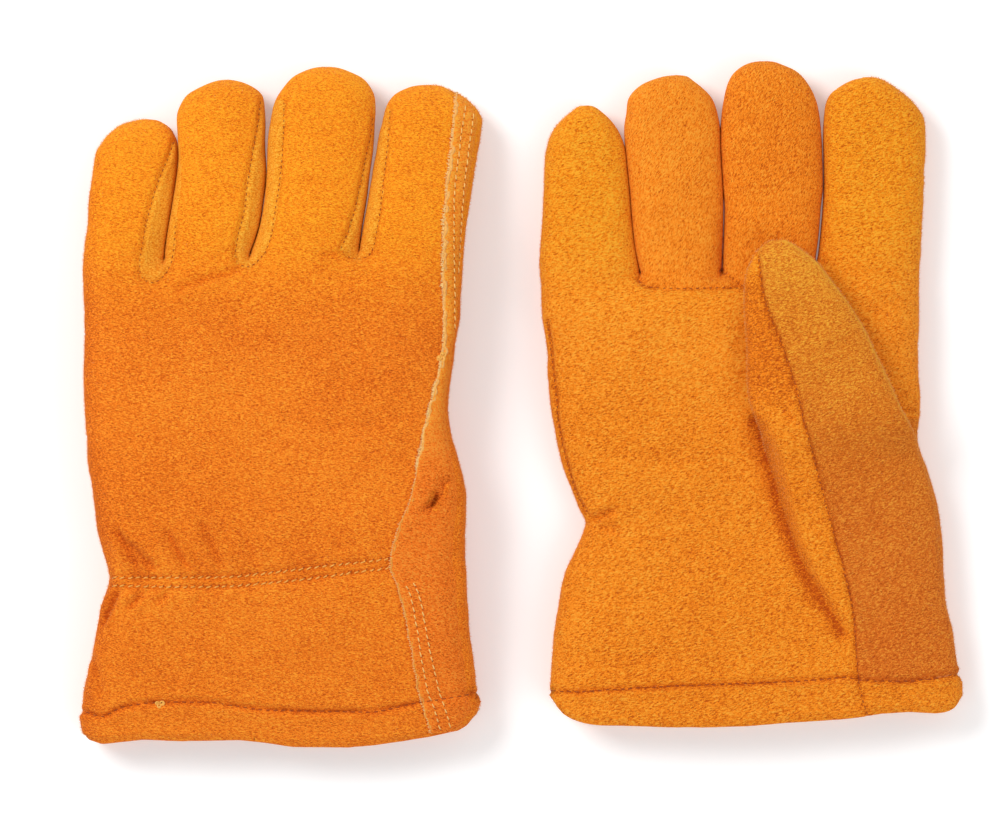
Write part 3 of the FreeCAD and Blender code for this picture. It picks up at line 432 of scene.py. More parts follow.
def soften(rows, grow, inner_left, inner_right):
    """Rounded outline of a digit from its rows (y, left x, right x), grown a little all round."""
    r = np.array(rows, float)
    pts = np.vstack([r[:, [1, 0]], r[::-1][:, [2, 0]]])
    for _ in range(3):
        a, c = pts[:-1], pts[1:]
        mid = np.empty((2 * len(a), 2))
        mid[0::2] = 0.75 * a + 0.25 * c
        mid[1::2] = 0.25 * a + 0.75 * c
        pts = np.vstack([pts[:1], mid, pts[-1:]])
    t = np.gradient(pts, axis=0)
    n = np.column_stack([-t[:, 1], t[:, 0]]) / np.maximum(np.hypot(t[:, 0], t[:, 1]), 1e-9)[:, None]
    ramp = sstep((pts[:, 1] - r[0, 1]) / 7.0)
    first = np.arange(len(pts)) < len(pts) / 2
    hold = np.where(first, inner_left, inner_right)
    pts = pts + n * (grow * np.where(hold, ramp, 1.0))[:, None]
    top = int(np.argmax(pts[:, 1]))
    L, R = pts[:top + 1], pts[top:][::-1]
    y0, y1 = float(r[0, 0]), float(pts[top, 1])
    q = np.linspace(0, 1, 140)
    ys = y0 + (y1 - y0) * np.sin(q * np.pi / 2) ** 0.9
    xl = np.interp(ys, np.maximum.accumulate(L[:, 1]), L[:, 0])
    xr = np.interp(ys, np.maximum.accumulate(R[:, 1]), R[:, 0])
    return [tuple(v) for v in np.column_stack([ys, xl, xr]).tolist()]


def soften_edge(rows, grow, sign):
    """Rounded side edge from its rows (y, x), moved outwards by grow."""
    p = smooth_line([(x, y) for y, x in rows], 1.0, 3)
    t = np.gradient(p, axis=0)
    n = np.column_stack([-t[:, 1], t[:, 0]]) / np.maximum(np.hypot(t[:, 0], t[:, 1]), 1e-9)[:, None]
    p = p + n * grow * sign
    o = np.argsort(p[:, 1])
    return [(float(y), float(x)) for x, y in p[o]]


for _side in ("left", "right"):
    _t = TAB[_side]
    for _i, _f in enumerate(("little", "ring", "middle", "index")):
        _t["fingers"][_f] = soften(_t["fingers"][_f], 0.42 if _side == "left" else 0.50, _i > 0, _i < 3)
    _t["L"] = soften_edge(_t["L"], 0.40, 1.0)
    _t["R"] = soften_edge(_t["R"], 0.40, -1.0)


def build_sheets(side):
    g = Glove()
    tab = TAB[side]
    g.tab, g.side = tab, side
    s = 1.0 if side == "right" else -1.0       # +1: palm up
    names = ("little", "ring", "middle", "index")
    zh = 11.5 if s > 0 else 26.0
    zf = 9.7 if s > 0 else 26.0
    half = {"little": 8.9, "ring": 9.5, "middle": 9.9, "index": 9.8}
    crotch = [tuple(c) for c in tab["crotch"]]
    hemx = np.array([c[0] for c in tab["hem"]])
    hemy = np.array([c[1] for c in tab["hem"]])
    cx = np.array([c[0] for c in crotch])
    cy = np.array([c[1] for c in crotch])
    V, F, side_of, zone, plan = [], [], [], [], []
    FD = []       # face data: part, column, row
    count = [0]

    def add_grid(X, Y, Z, top, part, flip):
        r, c = X.shape
        base = count[0]
        V.append(np.column_stack([X.ravel(), Y.ravel(), Z.ravel()]))
        side_of.append(np.full(r * c, 1.0 if top else 0.0))
        idx = base + np.arange(r * c).reshape(r, c)
        q = np.stack([idx[:-1, :-1], idx[:-1, 1:], idx[1:, 1:], idx[1:, :-1]], -1).reshape(-1, 4)
        if flip:
            q = q[:, ::-1]
        F.append(q)
        rr, cc = np.meshgrid(np.arange(r - 1), np.arange(c - 1), indexing="ij")
        FD.append(np.column_stack([np.full(rr.size, part), rr.ravel(), cc.ravel(), np.full(rr.size, 1 if top else 0)]))
        count[0] += r * c
        return idx

    fg = []
    for i, f in enumerate(names):
        X, Y, T, ST, SB, u = finger_grid(tab["fingers"][f], crotch, half[f], zf)
        # the crotch points are shared by neighbours
        if i > 0:
            X[0, 0] = tab["crotch_x"][i - 1]
            Y[0, 0] = np.interp(X[0, 0], cx, cy)
        if i < 3:
            X[0, -1] = tab["crotch_x"][i]
            Y[0, -1] = np.interp(X[0, -1], cx, cy)
        fg.append((X, Y, T, ST, SB, u))
    # ---- hand: columns follow the fingers
    Xc = np.concatenate([fg[0][0][0]] + [f[0][0][1:] for f in fg[1:]])
    Yc = np.concatenate([fg[0][1][0]] + [f[1][0][1:] for f in fg[1:]])
    STc = np.concatenate([fg[0][3][0]] + [f[3][0][1:] for f in fg[1:]])
    SBc = np.concatenate([fg[0][4][0]] + [f[4][0][1:] for f in fg[1:]])
    HTf = np.concatenate([fg[0][2][0] * 1.0] + [f[2][0][1:] for f in fg[1:]])
    xl0, xr0 = Xc[0], Xc[-1]
    U = (Xc - xl0) / (xr0 - xl0)
    NR = 150
    v = np.arange(NR + 1) / NR
    HX = np.zeros((NR + 1, len(U)))
    HY = np.zeros_like(HX)
    Llo, Rlo = tab["L"], tab["R"]
    for r in range(NR + 1):
        x = xl0 + U * (xr0 - xl0)
        for _ in range(6):
            yh = np.interp(x, hemx, hemy)
            y = yh + (Yc - yh) * v[r]
            xl = interp(Llo, y[0])
            xr = interp(Rlo, y[-1])
            # corners of the hem: the ends of the rows follow the side edges
            x = xl + U * (xr - xl)
        HX[r], HY[r] = x, y
    HX[-1], HY[-1] = Xc, Yc
    dc = Yc[None, :] - HY
    k = 1 - sstep(dc / 17.0)
    Th = interp(tab["T"], HY)
    SH = section(U, 5.0, 2.3)[None, :]
    SHB = section(U, 7.0, 2.6)[None, :]
    zm = zh + (zf - zh) * k
    flat = 0.86 * sstep(dc / 4.5)
    inner_col = sstep((U - 0.10) / 0.05) * sstep((0.90 - U) / 0.05)
    floor_ = flat * inner_col[None, :]
    SRT = np.maximum(STc[None, :], floor_)
    SRB = np.maximum(SBc[None, :], floor_)
    HZT = zm + (1 - k) * Th * SH + k * HTf[None, :] * SRT
    HZB = zm - ((1 - k) * Th * SHB + k * HTf[None, :] * SRB)
    g.HX, g.HY, g.U = HX, HY, U
    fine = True
    # hem roll and turned-in allowance: sections drawn towards the middle
    phis = np.linspace(0, 1, 7)[1:]
    ringsT, ringsB = [], []
    hw = (HX[0, -1] - HX[0, 0]) / 2
    xc = (HX[0, -1] + HX[0, 0]) / 2

    def inner(b, dy):
        kx = 1 - b * 2 * ROLL / hw
        kz = 1 - b * 2 * ROLL / max(Th[0].mean(), 1)
        X = xc + (HX[0] - xc) * kx
        Y = HY[0] + dy
        return X, Y, zh + (HZT[0] - zh) * kz, zh + (HZB[0] - zh) * kz

    # the outer row starts one radius above the folded edge
    roll = []
    for ph in phis:
        b = (1 - math.cos(math.pi * ph)) / 2
        dy = ROLL * (1 - math.sin(math.pi * ph))
        roll.append(inner(b, dy))
    for d in (2.0, 4.5, 7.5, 11.0, 13.5):
        roll.append(inner(1.0, ROLL + d))
    # move the outer sheet's first rows up by the radius of the fold
    lift = ROLL * (1 - sstep((HY - HY[0]) / 6.0)) * 1.0
    HY = HY + lift * (1 - np.arange(NR + 1)[:, None] / NR > 0)
    g.rings_in = roll[5]
    RT = np.array([r[0] for r in roll][::-1] + [HX[0]])
    RY = np.array([r[1] for r in roll][::-1] + [HY[0]])
    RZT = np.array([r[2] for r in roll][::-1] + [HZT[0]])
    RZB = np.array([r[3] for r in roll][::-1] + [HZB[0]])
    g.roll_rows = len(roll)
    add_grid(RT, RY, RZT, True, 5, False)
    add_grid(RT, RY, RZB, False, 5, True)
    add_grid(HX, HY, HZT, True, 4, False)
    add_grid(HX, HY, HZB, False, 4, True)
    for i, (X, Y, T, ST, SB, u) in enumerate(fg):
        ZT = zf + T * ST
        ZB = zf - T * SB
        add_grid(X, Y, ZT, True, i, False)
        add_grid(X, Y, ZB, False, i, True)
    V = np.vstack(V)
    F = np.vstack(F)
    FD = np.vstack(FD)
    data = {"top": np.concatenate(side_of)}
    V, F, data = weld(V, F, data)
    bad = np.array([len(set(f)) < 3 for f in F.tolist()])
    F, FD = F[~bad], FD[~bad]
    g.plan = V[:, :2].copy()
    g.V, g.F, g.FD, g.top = V, F, FD, data["top"]
    # a sheet's rim vertices belong to both sheets; top is averaged from faces
    tsum = np.zeros(len(V)); tn = np.zeros(len(V))
    for kk in range(4):
        np.add.at(tsum, F[:, kk], FD[:, 3].astype(float))
        np.add.at(tn, F[:, kk], 1.0)
    g.topw = tsum / np.maximum(tn, 1)
    return g


# ---------------------------------------------------------- zones and panels
NAMES = ("little", "ring", "middle", "index")


def prepare_frames(g):
    side = g.side
    g.frames = {f: digit_frame(side, f) for f in NAMES + ("thumb",)}
    w = JOINT[side + "_wrist_bend"]
    g.wrist = np.array(w["pos_m"]) * 1000.0
    g.s = 1.0 if side == "right" else -1.0


def zone_codes(g, x, y, part):
    """0 hand, 1 cuff, 2+2i finger base, 3+2i finger tip."""
    z = np.zeros(x.shape, int)
    hand = part >= 4
    z[hand & (y < g.wrist[1] + 14.6)] = 1
    for i, f in enumerate(NAMES):
        K, M, d = g.frames[f]
        m = part == i
        proj = (x - K[0]) * d[0] + (y - K[1]) * d[1]
        z[m & (proj < 15.3)] = 2 + 2 * i
        z[m & (proj >= 15.3)] = 3 + 2 * i
    return z


def zone_name(code):
    if code == 0:
        return "hand"
    if code == 1:
        return "cuff"
    if code >= 10:
        return ("thumb_base", "thumb_tip", "thumb_fold")[code - 10]
    i = (code - 2) // 2
    return NAMES[i] + ("_base" if code % 2 == 0 else "_tip")


def attach(ob, g, zone):
    """Rides a hand-zone piece on the hand's body; every other piece is baked in place."""
    side = g.side
    if zone == "hand":
        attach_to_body(ob, side + "_hand")
    elif zone in ("cuff", "thumb_fold"):
        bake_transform(ob)
    elif zone.endswith("_base"):
        f = zone[:-5]
        K, M, d = g.frames[f]
        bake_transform(ob)
    else:
        f = zone[:-4]
        K, M, d = g.frames[f]
        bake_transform(ob)
    return ob


def seam_groove(x, y, line, depth, width, pitch=0.0):
    d, along, sd, run = line_distance(x, y, smooth_line(line, 0.9, 2))
    gr = depth * np.exp(-(d / width) ** 2)
    if pitch:
        gr *= 1.0 + 0.22 * np.cos(2 * np.pi * along / pitch)
    fade = np.clip(along / 3.0, 0, 1) * np.clip((run - along) / 3.0, 0, 1)
    return gr, d, along, sd, fade


def finish_shape(g):
    tab, side = g.tab, g.side
    V, F = g.V, g.F
    part_v = np.full(len(V), -1)
    for kk in range(4):
        part_v[F[:, kk]] = np.maximum(part_v[F[:, kk]], -1)
        part_v[F[:, kk]] = g.FD[:, 0]
    e, deg = neighbours(F, len(V))
    g.e, g.deg = e, deg
    V = relax(V, e, deg, 0.35, 4, mask=(part_v != 5).astype(float))
    g.part_v = part_v
    g.V = V
    return g


def drape(g):
    """The palm-down glove lies over its thumb: digits and cuff slope to the table."""
    if g.side == "right":
        return
    V = g.V
    dz = np.zeros(len(V))
    for i, f in enumerate(NAMES):
        K, M, d = g.frames[f]
        tilt = math.radians(TILT[f])
        m = g.part_v == i
        proj = (V[:, 0] - K[0]) * d[0] + (V[:, 1] - K[1]) * d[1]
        dz = np.where(m, math.tan(tilt) * softplus(proj, 2.5), dz)
    m = g.part_v >= 4
    dz = np.where(m, math.tan(math.radians(TILT["cuff"])) * softplus(g.wrist[1] - V[:, 1], 4.0), dz)
    V[:, 2] -= dz
    V[:, 2] = np.maximum(V[:, 2], 0.25)


def displace(g):
    V, F, tab, side = g.V, g.F, g.tab, g.side
    N = vertex_normals(V, F)
    x, y = g.plan[:, 0], g.plan[:, 1]
    top = g.topw
    P = V.copy()
    seed = 11 if side == "left" else 47
    inroll = g.part_v == 5
    d = 0.55 * noise3(P, 26.0, seed) + 0.40 * noise3(P, 11.0, seed + 1) + 0.16 * noise3(P, 4.5, seed + 2)
    d += 0.10 * noise3(P, 2.1, seed + 3) + 0.07 * noise3(P, 1.3, seed + 4)
    tone = 0.5 + 0.05 * noise3(P, 34.0, seed + 7) + 0.02 * noise3(P, 9.0, seed + 8)
    fork = np.zeros(len(V))
    vis = np.clip((top - 0.25) / 0.5, 0, 1)          # the sheet facing up
    if side == "left":
        tone += 0.12 * sstep((y - 26.0) / 42.0) * vis
        tone -= 0.03 * sstep((20.0 - np.abs(y + 30)) / 30.0)
        # painted shade: the left glove darkens over a few millimetres next to its outer side edge, where the surface
        # turns away; it is also darker in a band across the wrist
        edge_ = x - np.interp(y, [p[0] for p in tab["L"]], [p[1] for p in tab["L"]])
        tone -= (0.20 * np.exp(-(np.maximum(edge_, 0.0) / 4.8) ** 2) + 0.06 * np.exp(-((y + 54.0) / 15.0) ** 2)) * vis
    else:
        tone += (0.05 * sstep((y + 20.0) / 60.0) - 0.05 * sstep((y - 75.0) / 20.0) * (g.part_v == 2) + 0.05 * (g.part_v <= 1) * (g.part_v >= 0)) * vis
    if side == "left":
        for line in tab["fork_seams"]:
            gr, dd, al, sd, fade = seam_groove(x, y, line, 0.75, 0.8, 2.6)
            d -= gr * vis
            d += 0.30 * np.exp(-((dd - 1.7) / 0.9) ** 2) * vis
            tone -= 0.15 * np.exp(-(dd / 0.55) ** 2) * vis
        for poly in tab["fork_polys"]:
            fork = np.maximum(fork, inside(x, y, poly) * (top > 0.5))
        lap, dd, al, sd, fade = seam_groove(x, y, tab["lap"], 0.5, 1.2)
        d -= lap * vis * (sd > 0)
        # painted shadow: the back panel darkens in a narrow band along the lapped edge
        tone -= (0.12 * np.exp(-(dd / 1.3) ** 2) + 0.30 * np.exp(-(dd / 0.55) ** 2) * (0.6 + 0.4 * noise3(np.column_stack([x * 0, y, x * 0]), 1.5, 77))) * (sd > 0) * vis
        for line in tab["wrist_rows"]:
            gr, dd, al, sd, fade = seam_groove(x, y, line, 1.05, 0.95, 2.9)
            d -= gr * vis
            tone -= 0.16 * np.exp(-(dd / 0.7) ** 2) * vis
        # gathers: short ridges across the elastic, strongest at the little finger side; their tone is painted shade,
        # lighter on the crests and darker in the hollows
        a, bb = tab["wrist_rows"]
        mid = [((p[0] + q[0]) / 2, (p[1] + q[1]) / 2) for p, q in zip(a, a)]
        dd, al, sd, run = line_distance(x, y, smooth_line(a, 1.0, 1))
        amp = (0.35 + 1.1 * np.exp(-al / 28.0)) * np.exp(-(dd / 10.0) ** 1.6)
        ridge = np.sin(al / 3.1 + 1.3 * np.sin(al / 7.3) + dd * 0.04 * np.sign(sd))
        d += amp * (0.55 * ridge) * vis
        tone += 0.10 * amp * ridge * vis
    else:
        for key, dep, wid in (("two_seam", 0.8, 0.75), ("small_seam", 0.8, 0.75), ("left_seam", 0.7, 0.7)):
            gr, dd, al, sd, fade = seam_groove(x, y, tab[key], dep, wid, 2.6)
            d -= gr * vis
            d += 0.25 * np.exp(-((dd - 1.5) / 0.8) ** 2) * vis
            tone -= 0.36 * np.exp(-(dd / 0.5) ** 2) * vis
    if side == "right":
        for line in (TAB["notch"], [p for p in TAB["long_seam"] if p[1] < -84.0]):
            gr, dd, al, sd, fade = seam_groove(x, y, line, 0.75, 0.75)
            d -= gr * vis
            tone -= 0.26 * np.exp(-(dd / 0.6) ** 2) * vis
        # painted shadow: the palm darkens in a broad band along the fold under the thumb
        fold = [(fx_, fy_) for fy_, fx_ in TAB["thumb_l"] if fy_ < -2.0]
        gr, dd, al, sd, fade = seam_groove(x, y, fold, 1.9, 2.8)
        d -= gr * fade * vis
        tone -= (0.34 * np.exp(-(dd / 2.3) ** 2) + 0.08 * np.exp(-(dd / 6.0) ** 2)) * fade * vis
        tone += 0.05 * np.exp(-((y - 28.0) / 24.0) ** 2) * sstep((x - 14.0) / 12.0) * sstep((88.0 - x) / 10.0) * vis
    # creases: a hollow with a ridge beside it; the darkening in the hollow is painted shade
    for line, depth, width in tab["creases"]:
        width = width * 0.8
        gr, dd, al, sd, fade = seam_groove(x, y, line, depth, width)
        d -= 1.25 * gr * fade * vis
        d += 0.55 * depth * np.exp(-((dd - width * 1.5) / (width * 0.9)) ** 2) * fade * vis
        tone -= 0.13 * depth * np.exp(-(dd / (0.5 * width)) ** 2) * fade * vis
    # turned hem: a thicker band below its stitch row
    gr, dd, al, sd, fade = seam_groove(x, y, tab["hem_row"], 1.25, 0.95, 3.1)
    yrow = np.interp(x, [p[0] for p in tab["hem_row"]], [p[1] for p in tab["hem_row"]])
    below = sstep((yrow - y) / 2.2 + 0.1)
    outer = (~inroll)
    d = d - gr * outer + 0.75 * below * outer
    d += 0.4 * np.exp(-((dd - 2.1) / 1.0) ** 2) * outer
    tone -= 0.34 * np.exp(-(dd / 0.55) ** 2) * outer
    d *= np.where(inroll, 0.35, 1.0)
    near = np.ones(len(V))
    for i, f in enumerate(NAMES):
        m_ = g.part_v == i
        xl_, xr_ = interp(tab["fingers"][f], y, 1), interp(tab["fingers"][f], y, 2)
        e_ = np.full(len(V), 9.0)
        if i > 0:
            e_ = np.minimum(e_, x - xl_)
        if i < 3:
            e_ = np.minimum(e_, xr_ - x)
        near = np.where(m_, 0.25 + 0.75 * sstep(e_ / 3.0), near)
    d *= near
    g.near = near
    V = V + N * d[:, None]
    V[:, 2] = np.maximum(V[:, 2], 0.15)
    g.V, g.N = V, vertex_normals(V, F)
    g.tone, g.fork = tone, fork
    # labels on faces
    fx = x[F].mean(1)
    fy = y[F].mean(1)
    part = g.FD[:, 0]
    ftop = g.FD[:, 3] > 0
    g.fzone = zone_codes(g, fx, fy, part)
    g.fzone[part == 5] = 1
    backsheet = ftop if side == "left" else ~ftop
    panel = np.where(backsheet, "back", "palm").astype(object)
    if side == "left":
        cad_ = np.zeros(len(F), bool)
        for poly in tab["fork_polys"]:
            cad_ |= inside(fx, fy, poly)
        panel[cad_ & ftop] = "fork"
    else:
        col = g.FD[:, 2]
        edgec = (part < 4) & ~ftop & (((col < 5) & (part > 0)) | ((col >= NC - 5) & (part < 3)))
        panel[edgec] = "fork"
    two = (~backsheet) & ((part == 1) | (part == 2))
    if side == "right":
        two |= inside(fx, fy, tab["two_poly"]) & ftop & (part == 4)
    panel[two] = "two_finger"
    seam = TAB["long_seam"]
    ox = 0.0 if side == "right" else -173.28
    oy = 0.0 if side == "right" else -4.0
    sx = np.array([p[0] + ox for p in seam]); sy = np.array([p[1] + oy for p in seam])
    o = np.argsort(sy)
    right_of = fx > np.interp(fy, sy[o], sx[o])
    Kt = g.frames["thumb"][0]
    wing = (~backsheet) & (part == 4) & right_of & (fy < Kt[1] + 2)
    panel[wing] = "wing"
    yr = np.interp(fx, [p[0] for p in tab["hem_row"]], [p[1] for p in tab["hem_row"]])
    hem = (part == 5) | ((part == 4) & (fy < yr))
    panel[hem] = "hem"
    g.panel = panel


def shell_piece(name, V, N, F, tone, fork, rest, mats, slot, thick=LEATHER, inner_index=1):
    """Closed shell: these faces, their inner copy and a rim along every open edge."""
    used, inv = np.unique(F, return_inverse=True)
    f = inv.reshape(F.shape)
    n = len(used)
    P = V[used]
    Q = P - N[used] * thick
    verts = np.vstack([P, Q])
    e = np.vstack([f[:, [0, 1]], f[:, [1, 2]], f[:, [2, 3]], f[:, [3, 0]]])
    e = e[e[:, 0] != e[:, 1]]
    key = np.sort(e, 1)
    k1 = key[:, 0].astype(np.int64) * n + key[:, 1]
    u, first, cnt = np.unique(k1, return_index=True, return_counts=True)
    border = e[first[cnt == 1]]
    faces = [tuple(dict.fromkeys(q)) for q in f.tolist()]
    faces_in = [tuple(x + n for x in reversed(q)) for q in faces]
    rim = [(b, a, a + n, b + n) for a, b in border.tolist()]
    allf = [q for q in faces + faces_in + rim if len(q) > 2]
    ob = make_object(name, verts, allf, mats, {"tone": np.tile(tone[used], 2), "fork": np.tile(fork[used], 2)}, slot=slot)
    mesh = ob.data
    if len(mesh.vertices) == len(verts):
        a = mesh.attributes.new("rest", "FLOAT_VECTOR", "POINT")
        a.data.foreach_set("vector", (np.tile(rest[used], (2, 1)) * MM).astype(np.float32).ravel())
    if len(mesh.vertices) == len(verts):
        mesh.normals_split_custom_set_from_vertices(np.vstack([N[used], -N[used]]).tolist())
    idx = np.zeros(len(mesh.polygons), np.int32)
    nf = len([q for q in faces if len(q) > 2])
    if len(mats) > 1:
        idx[nf:2 * nf] = inner_index
        if len(mats) > 2:
            idx[2 * nf:] = 2
        mesh.polygons.foreach_set("material_index", idx)
    return ob


def emit_pieces(g, mats):
    side = g.side
    table = {}
    rest = g.V.copy()
    for panel in ("back", "palm", "two_finger", "wing", "fork", "hem"):
        for code in range(0, 10):
            m = (g.panel == panel) & (g.fzone == code)
            if not m.any():
                continue
            zone = zone_name(code)
            name = "%s_%s_%s" % (side, panel, zone)
            body_m = mats["back"] if panel in ("back",) else mats["palm"]
            if panel == "two_finger":
                body_m = mats["two"]
            if panel == "fork":
                body_m = mats["fork"]
            if panel == "hem":
                body_m = mats["back"] if side == "left" else mats["palm"]
            if panel == "wing":
                body_m = mats["wing"]
            slotname = {"back": "suede_back", "palm": "suede_palm", "two_finger": "suede_palm", "wing": "suede_palm",
                        "fork": "suede_forks", "hem": "suede_cuff"}[panel]
            if zone == "cuff":
                slotname = "suede_cuff"
            ob = shell_piece(name, g.V, g.N, g.F[m], g.tone, g.fork, rest, [body_m, mats["inner"], mats["cut"]], slotname)
            attach(ob, g, zone)
            table[(panel, zone)] = ob
    return table


# --------------------------------------------------------------- thumb stall
def build_thumb(g):
    side, s = g.side, g.s
    ox, oy = (0.0, 0.0) if side == "right" else (-173.28, -4.0)
    tl = [(a + oy, b + ox) for a, b in TAB["thumb_l"]]
    tr = [(a + oy, b + ox) for a, b in TAB["thumb_r"]]
    K, M, dvec = g.frames["thumb"]
    y0, y1 = tl[0][0], tl[-1][0]
    rows = 120
    t = np.arange(rows + 1) / rows
    gg = np.where(t < 0.82, t / 0.82 * 0.90, 0.90 + 0.10 * np.sin((t - 0.82) / 0.18 * np.pi / 2))
    n = 56
    lin = np.arange(n + 1) / n
    u = 0.5 * lin + 0.5 * 0.5 * (1 - np.cos(np.pi * lin))
    Yr = y0 + (y1 - y0) * gg
    X = np.array([interp(tl, yy) + u * (interp(tr, yy) - interp(tl, yy)) for yy in Yr])
    Y = np.repeat(Yr[:, None], n + 1, 1)
    if side == "left":
        lim = np.array([interp(g.tab["R"], yy) for yy in Yr]) - 2.2
        free = sstep((Yr - (K[1] - 6)) / 18.0)[:, None]
        over = softplus(X - lim[:, None], 0.8)
        X = X - over * (1 - free)
    bvh = BVHTree.FromPolygons(g.V.tolist(), [tuple(dict.fromkeys(q)) for q in g.F.tolist()])
    surf = np.zeros_like(X)
    for r in range(rows + 1):
        for c in range(n + 1):
            px = min(max(X[r, c], X[r, 0] + 0.05), X[r, -1] - 0.3)
            h = bvh.ray_cast(Vector((px, Y[r, c], 200.0 * s)), Vector((0, 0, -s)))
            surf[r, c] = h[0].z if h[0] is not None else (11.5 if s > 0 else 26.0)
    for _ in range(3):
        surf[1:-1] = (surf[:-2] + 2 * surf[1:-1] + surf[2:]) / 4
        surf[:, 1:-1] = (surf[:, :-2] + 2 * surf[:, 1:-1] + surf[:, 2:]) / 4
    free = 24.1 if s > 0 else 13.9
    height = 14.2 if s > 0 else 13.4
    m = sstep((K[1] + 6 - Y) / 20.0)                   # 0 where the stall is free, 1 in the root
    hr = np.interp(Y, *zip(*sorted([(K[1] + dy, hh) for dy, hh in (
        (12, 14.0), (0, 13.6), (-9.5, 12.0), (-21, 9.6), (-32, 7.6), (-46, 5.4), (-57, 3.9), (-66, 2.5), (-74, 1.2), (-82, -0.3))])))
    D = 17.0
    e = np.clip((Y - (y1 - D)) / D, 0, 1)
    tip = np.power(np.clip(1 - e ** 2.4, 0, 1), 1 / 2.1)
    ST = section(u, 2.8, 2.1)[None, :]
    SB = section(u, 5.0, 2.6)[None, :]
    half = height / 2
    top_free = half + half * ST * tip
    bot_free = half - half * SB * tip
    rise = sstep(u / 0.10)[None, :] * (1 - 0.80 * np.clip((u - 0.25) / 0.75, 0, 1) ** 1.6)[None, :]
    top_root = hr * rise - 0.5
    bot_root = np.minimum(-2.6 + 0 * Y, top_root - 2.0)
    base = (1 - m) * free + m * surf
    ZT = base + s * ((1 - m) * top_free + m * top_root)
    ZB = base + s * ((1 - m) * bot_free + m * bot_root)
    # rims of both sheets meet at the sides in the free part and close in the root
    rim = (ZT + ZB) / 2
    ZT[:, 0] = ZB[:, 0] = rim[:, 0]
    ZT[:, -1] = ZB[:, -1] = rim[:, -1]
    ZT[0] = ZB[0] = rim[0]
    V, F, FD = [], [], []
    base_i = 0
    for k, Z in enumerate((ZT, ZB)):
        V.append(np.column_stack([X.ravel(), Y.ravel(), Z.ravel()]))
        idx = base_i + np.arange(X.size).reshape(X.shape)
        q = np.stack([idx[:-1, :-1], idx[:-1, 1:], idx[1:, 1:], idx[1:, :-1]], -1).reshape(-1, 4)
        if (k == 1) != (s < 0):
            q = q[:, ::-1]
        F.append(q)
        rr, cc = np.meshgrid(np.arange(rows), np.arange(n), indexing="ij")
        FD.append(np.column_stack([rr.ravel(), cc.ravel(), np.full(rr.size, 1 - k)]))
        base_i += X.size
    V, F, FD = np.vstack(V), np.vstack(F), np.vstack(FD)
    topw = np.concatenate([np.ones(X.size), np.zeros(X.size)])
    V, F, data = weld(V, F, {"t": topw})
    bad = np.array([len(set(q)) < 3 for q in F.tolist()])
    F, FD = F[~bad], FD[~bad]
    plan = V[:, :2].copy()
    e2, deg = neighbours(F, len(V))
    V = relax(V, e2, deg, 0.4, 5)
    tsum = np.zeros(len(V)); tn = np.zeros(len(V))
    for kk in range(4):
        np.add.at(tsum, F[:, kk], FD[:, 2].astype(float))
        np.add.at(tn, F[:, kk], 1.0)
    vis = np.clip((tsum / np.maximum(tn, 1) - 0.25) / 0.5, 0, 1)
    N = vertex_normals(V, F)
    seed = 91 if side == "left" else 71
    d = 0.5 * noise3(V, 22.0, seed) + 0.30 * noise3(V, 9.0, seed + 1) + 0.13 * noise3(V, 4.2, seed + 2)
    d += 0.08 * noise3(V, 2.0, seed + 3) + 0.06 * noise3(V, 1.3, seed + 4)
    x, y = plan[:, 0], plan[:, 1]
    seam = [(a + ox, b + oy) for a, b in TAB["long_seam"]]
    gr, dd, al, sd, fade = seam_groove(x, y, seam, 0.95, 0.8, 2.6)
    d -= gr * vis
    d += 0.35 * np.exp(-((dd - 1.6) / 0.9) ** 2) * vis
    tone = 0.5 + 0.05 * noise3(V, 30.0, seed + 7) + 0.02 * noise3(V, 8.0, seed + 8)
    tone -= 0.36 * np.exp(-(dd / 0.55) ** 2) * vis
    # painted highlight: a narrow pale band of sheen along the thumb's outer edge; the thumb is also paler towards its
    # tip
    rr_ = [(b_ + ox, a_ + oy) for a_, b_ in TAB["thumb_r"]]
    dr, _, _, _ = line_distance(x, y, smooth_line(rr_, 1.0, 2))
    tone += (0.42 * np.exp(-(dr / 0.9) ** 2) * sstep((y + 14.0) / 10.0) + 0.13 * sstep((y - 30.0) / 26.0)) * vis
    ds = line_distance(x, y, smooth_line(seam, 1.0, 2))
    left_part = (ds[2] * np.sign(seam[-1][1] - seam[0][1]) > 0)
    tone -= 0.20 * left_part * sstep((y + 4.0) / 12.0) * (1 - sstep((y - 44.0) / 10.0)) * vis
    # painted shadow along the fold where the thumb lies over the palm
    tfold = [(b_ + ox, a_ + oy) for a_, b_ in TAB["thumb_l"] if a_ < -2.0]
    gr, dd2, al, sd2, fade = seam_groove(x, y, tfold, 0.0, 2.8)
    tone -= 0.30 * np.exp(-(dd2 / 2.2) ** 2) * fade * vis
    # thumb creases: grooves whose darkening is painted shade
    for line, depth, width in TAB["thumb_crease"]:
        line = [(a + ox, b + oy) for a, b in line]
        gr, dd2, al, sd2, fade = seam_groove(x, y, line, depth, width)
        d -= gr * fade * vis
        tone -= 0.07 * depth * np.exp(-(dd2 / width) ** 2) * fade * vis
    V = V + N * d[:, None]
    V[:, 2] = np.maximum(V[:, 2], 0.15)
    N = vertex_normals(V, F)
    th = Glove()
    th.V, th.F, th.N, th.plan, th.tone = V, F, N, plan, tone
    fx, fy = x[F].mean(1), y[F].mean(1)
    proj = (fx - K[0]) * dvec[0] + (fy - K[1]) * dvec[1]
    z = np.full(len(F), 10)
    z[proj > 25.0] = 11
    z[fy < g.wrist[1] + 14.6] = 12
    th.fzone = z
    sx = np.array([p[0] for p in seam]); sy = np.array([p[1] for p in seam])
    o = np.argsort(sy)
    right_of = fx > np.interp(fy, sy[o], sx[o])
    th.outer = right_of & (FD[:, 2] > 0)
    return th


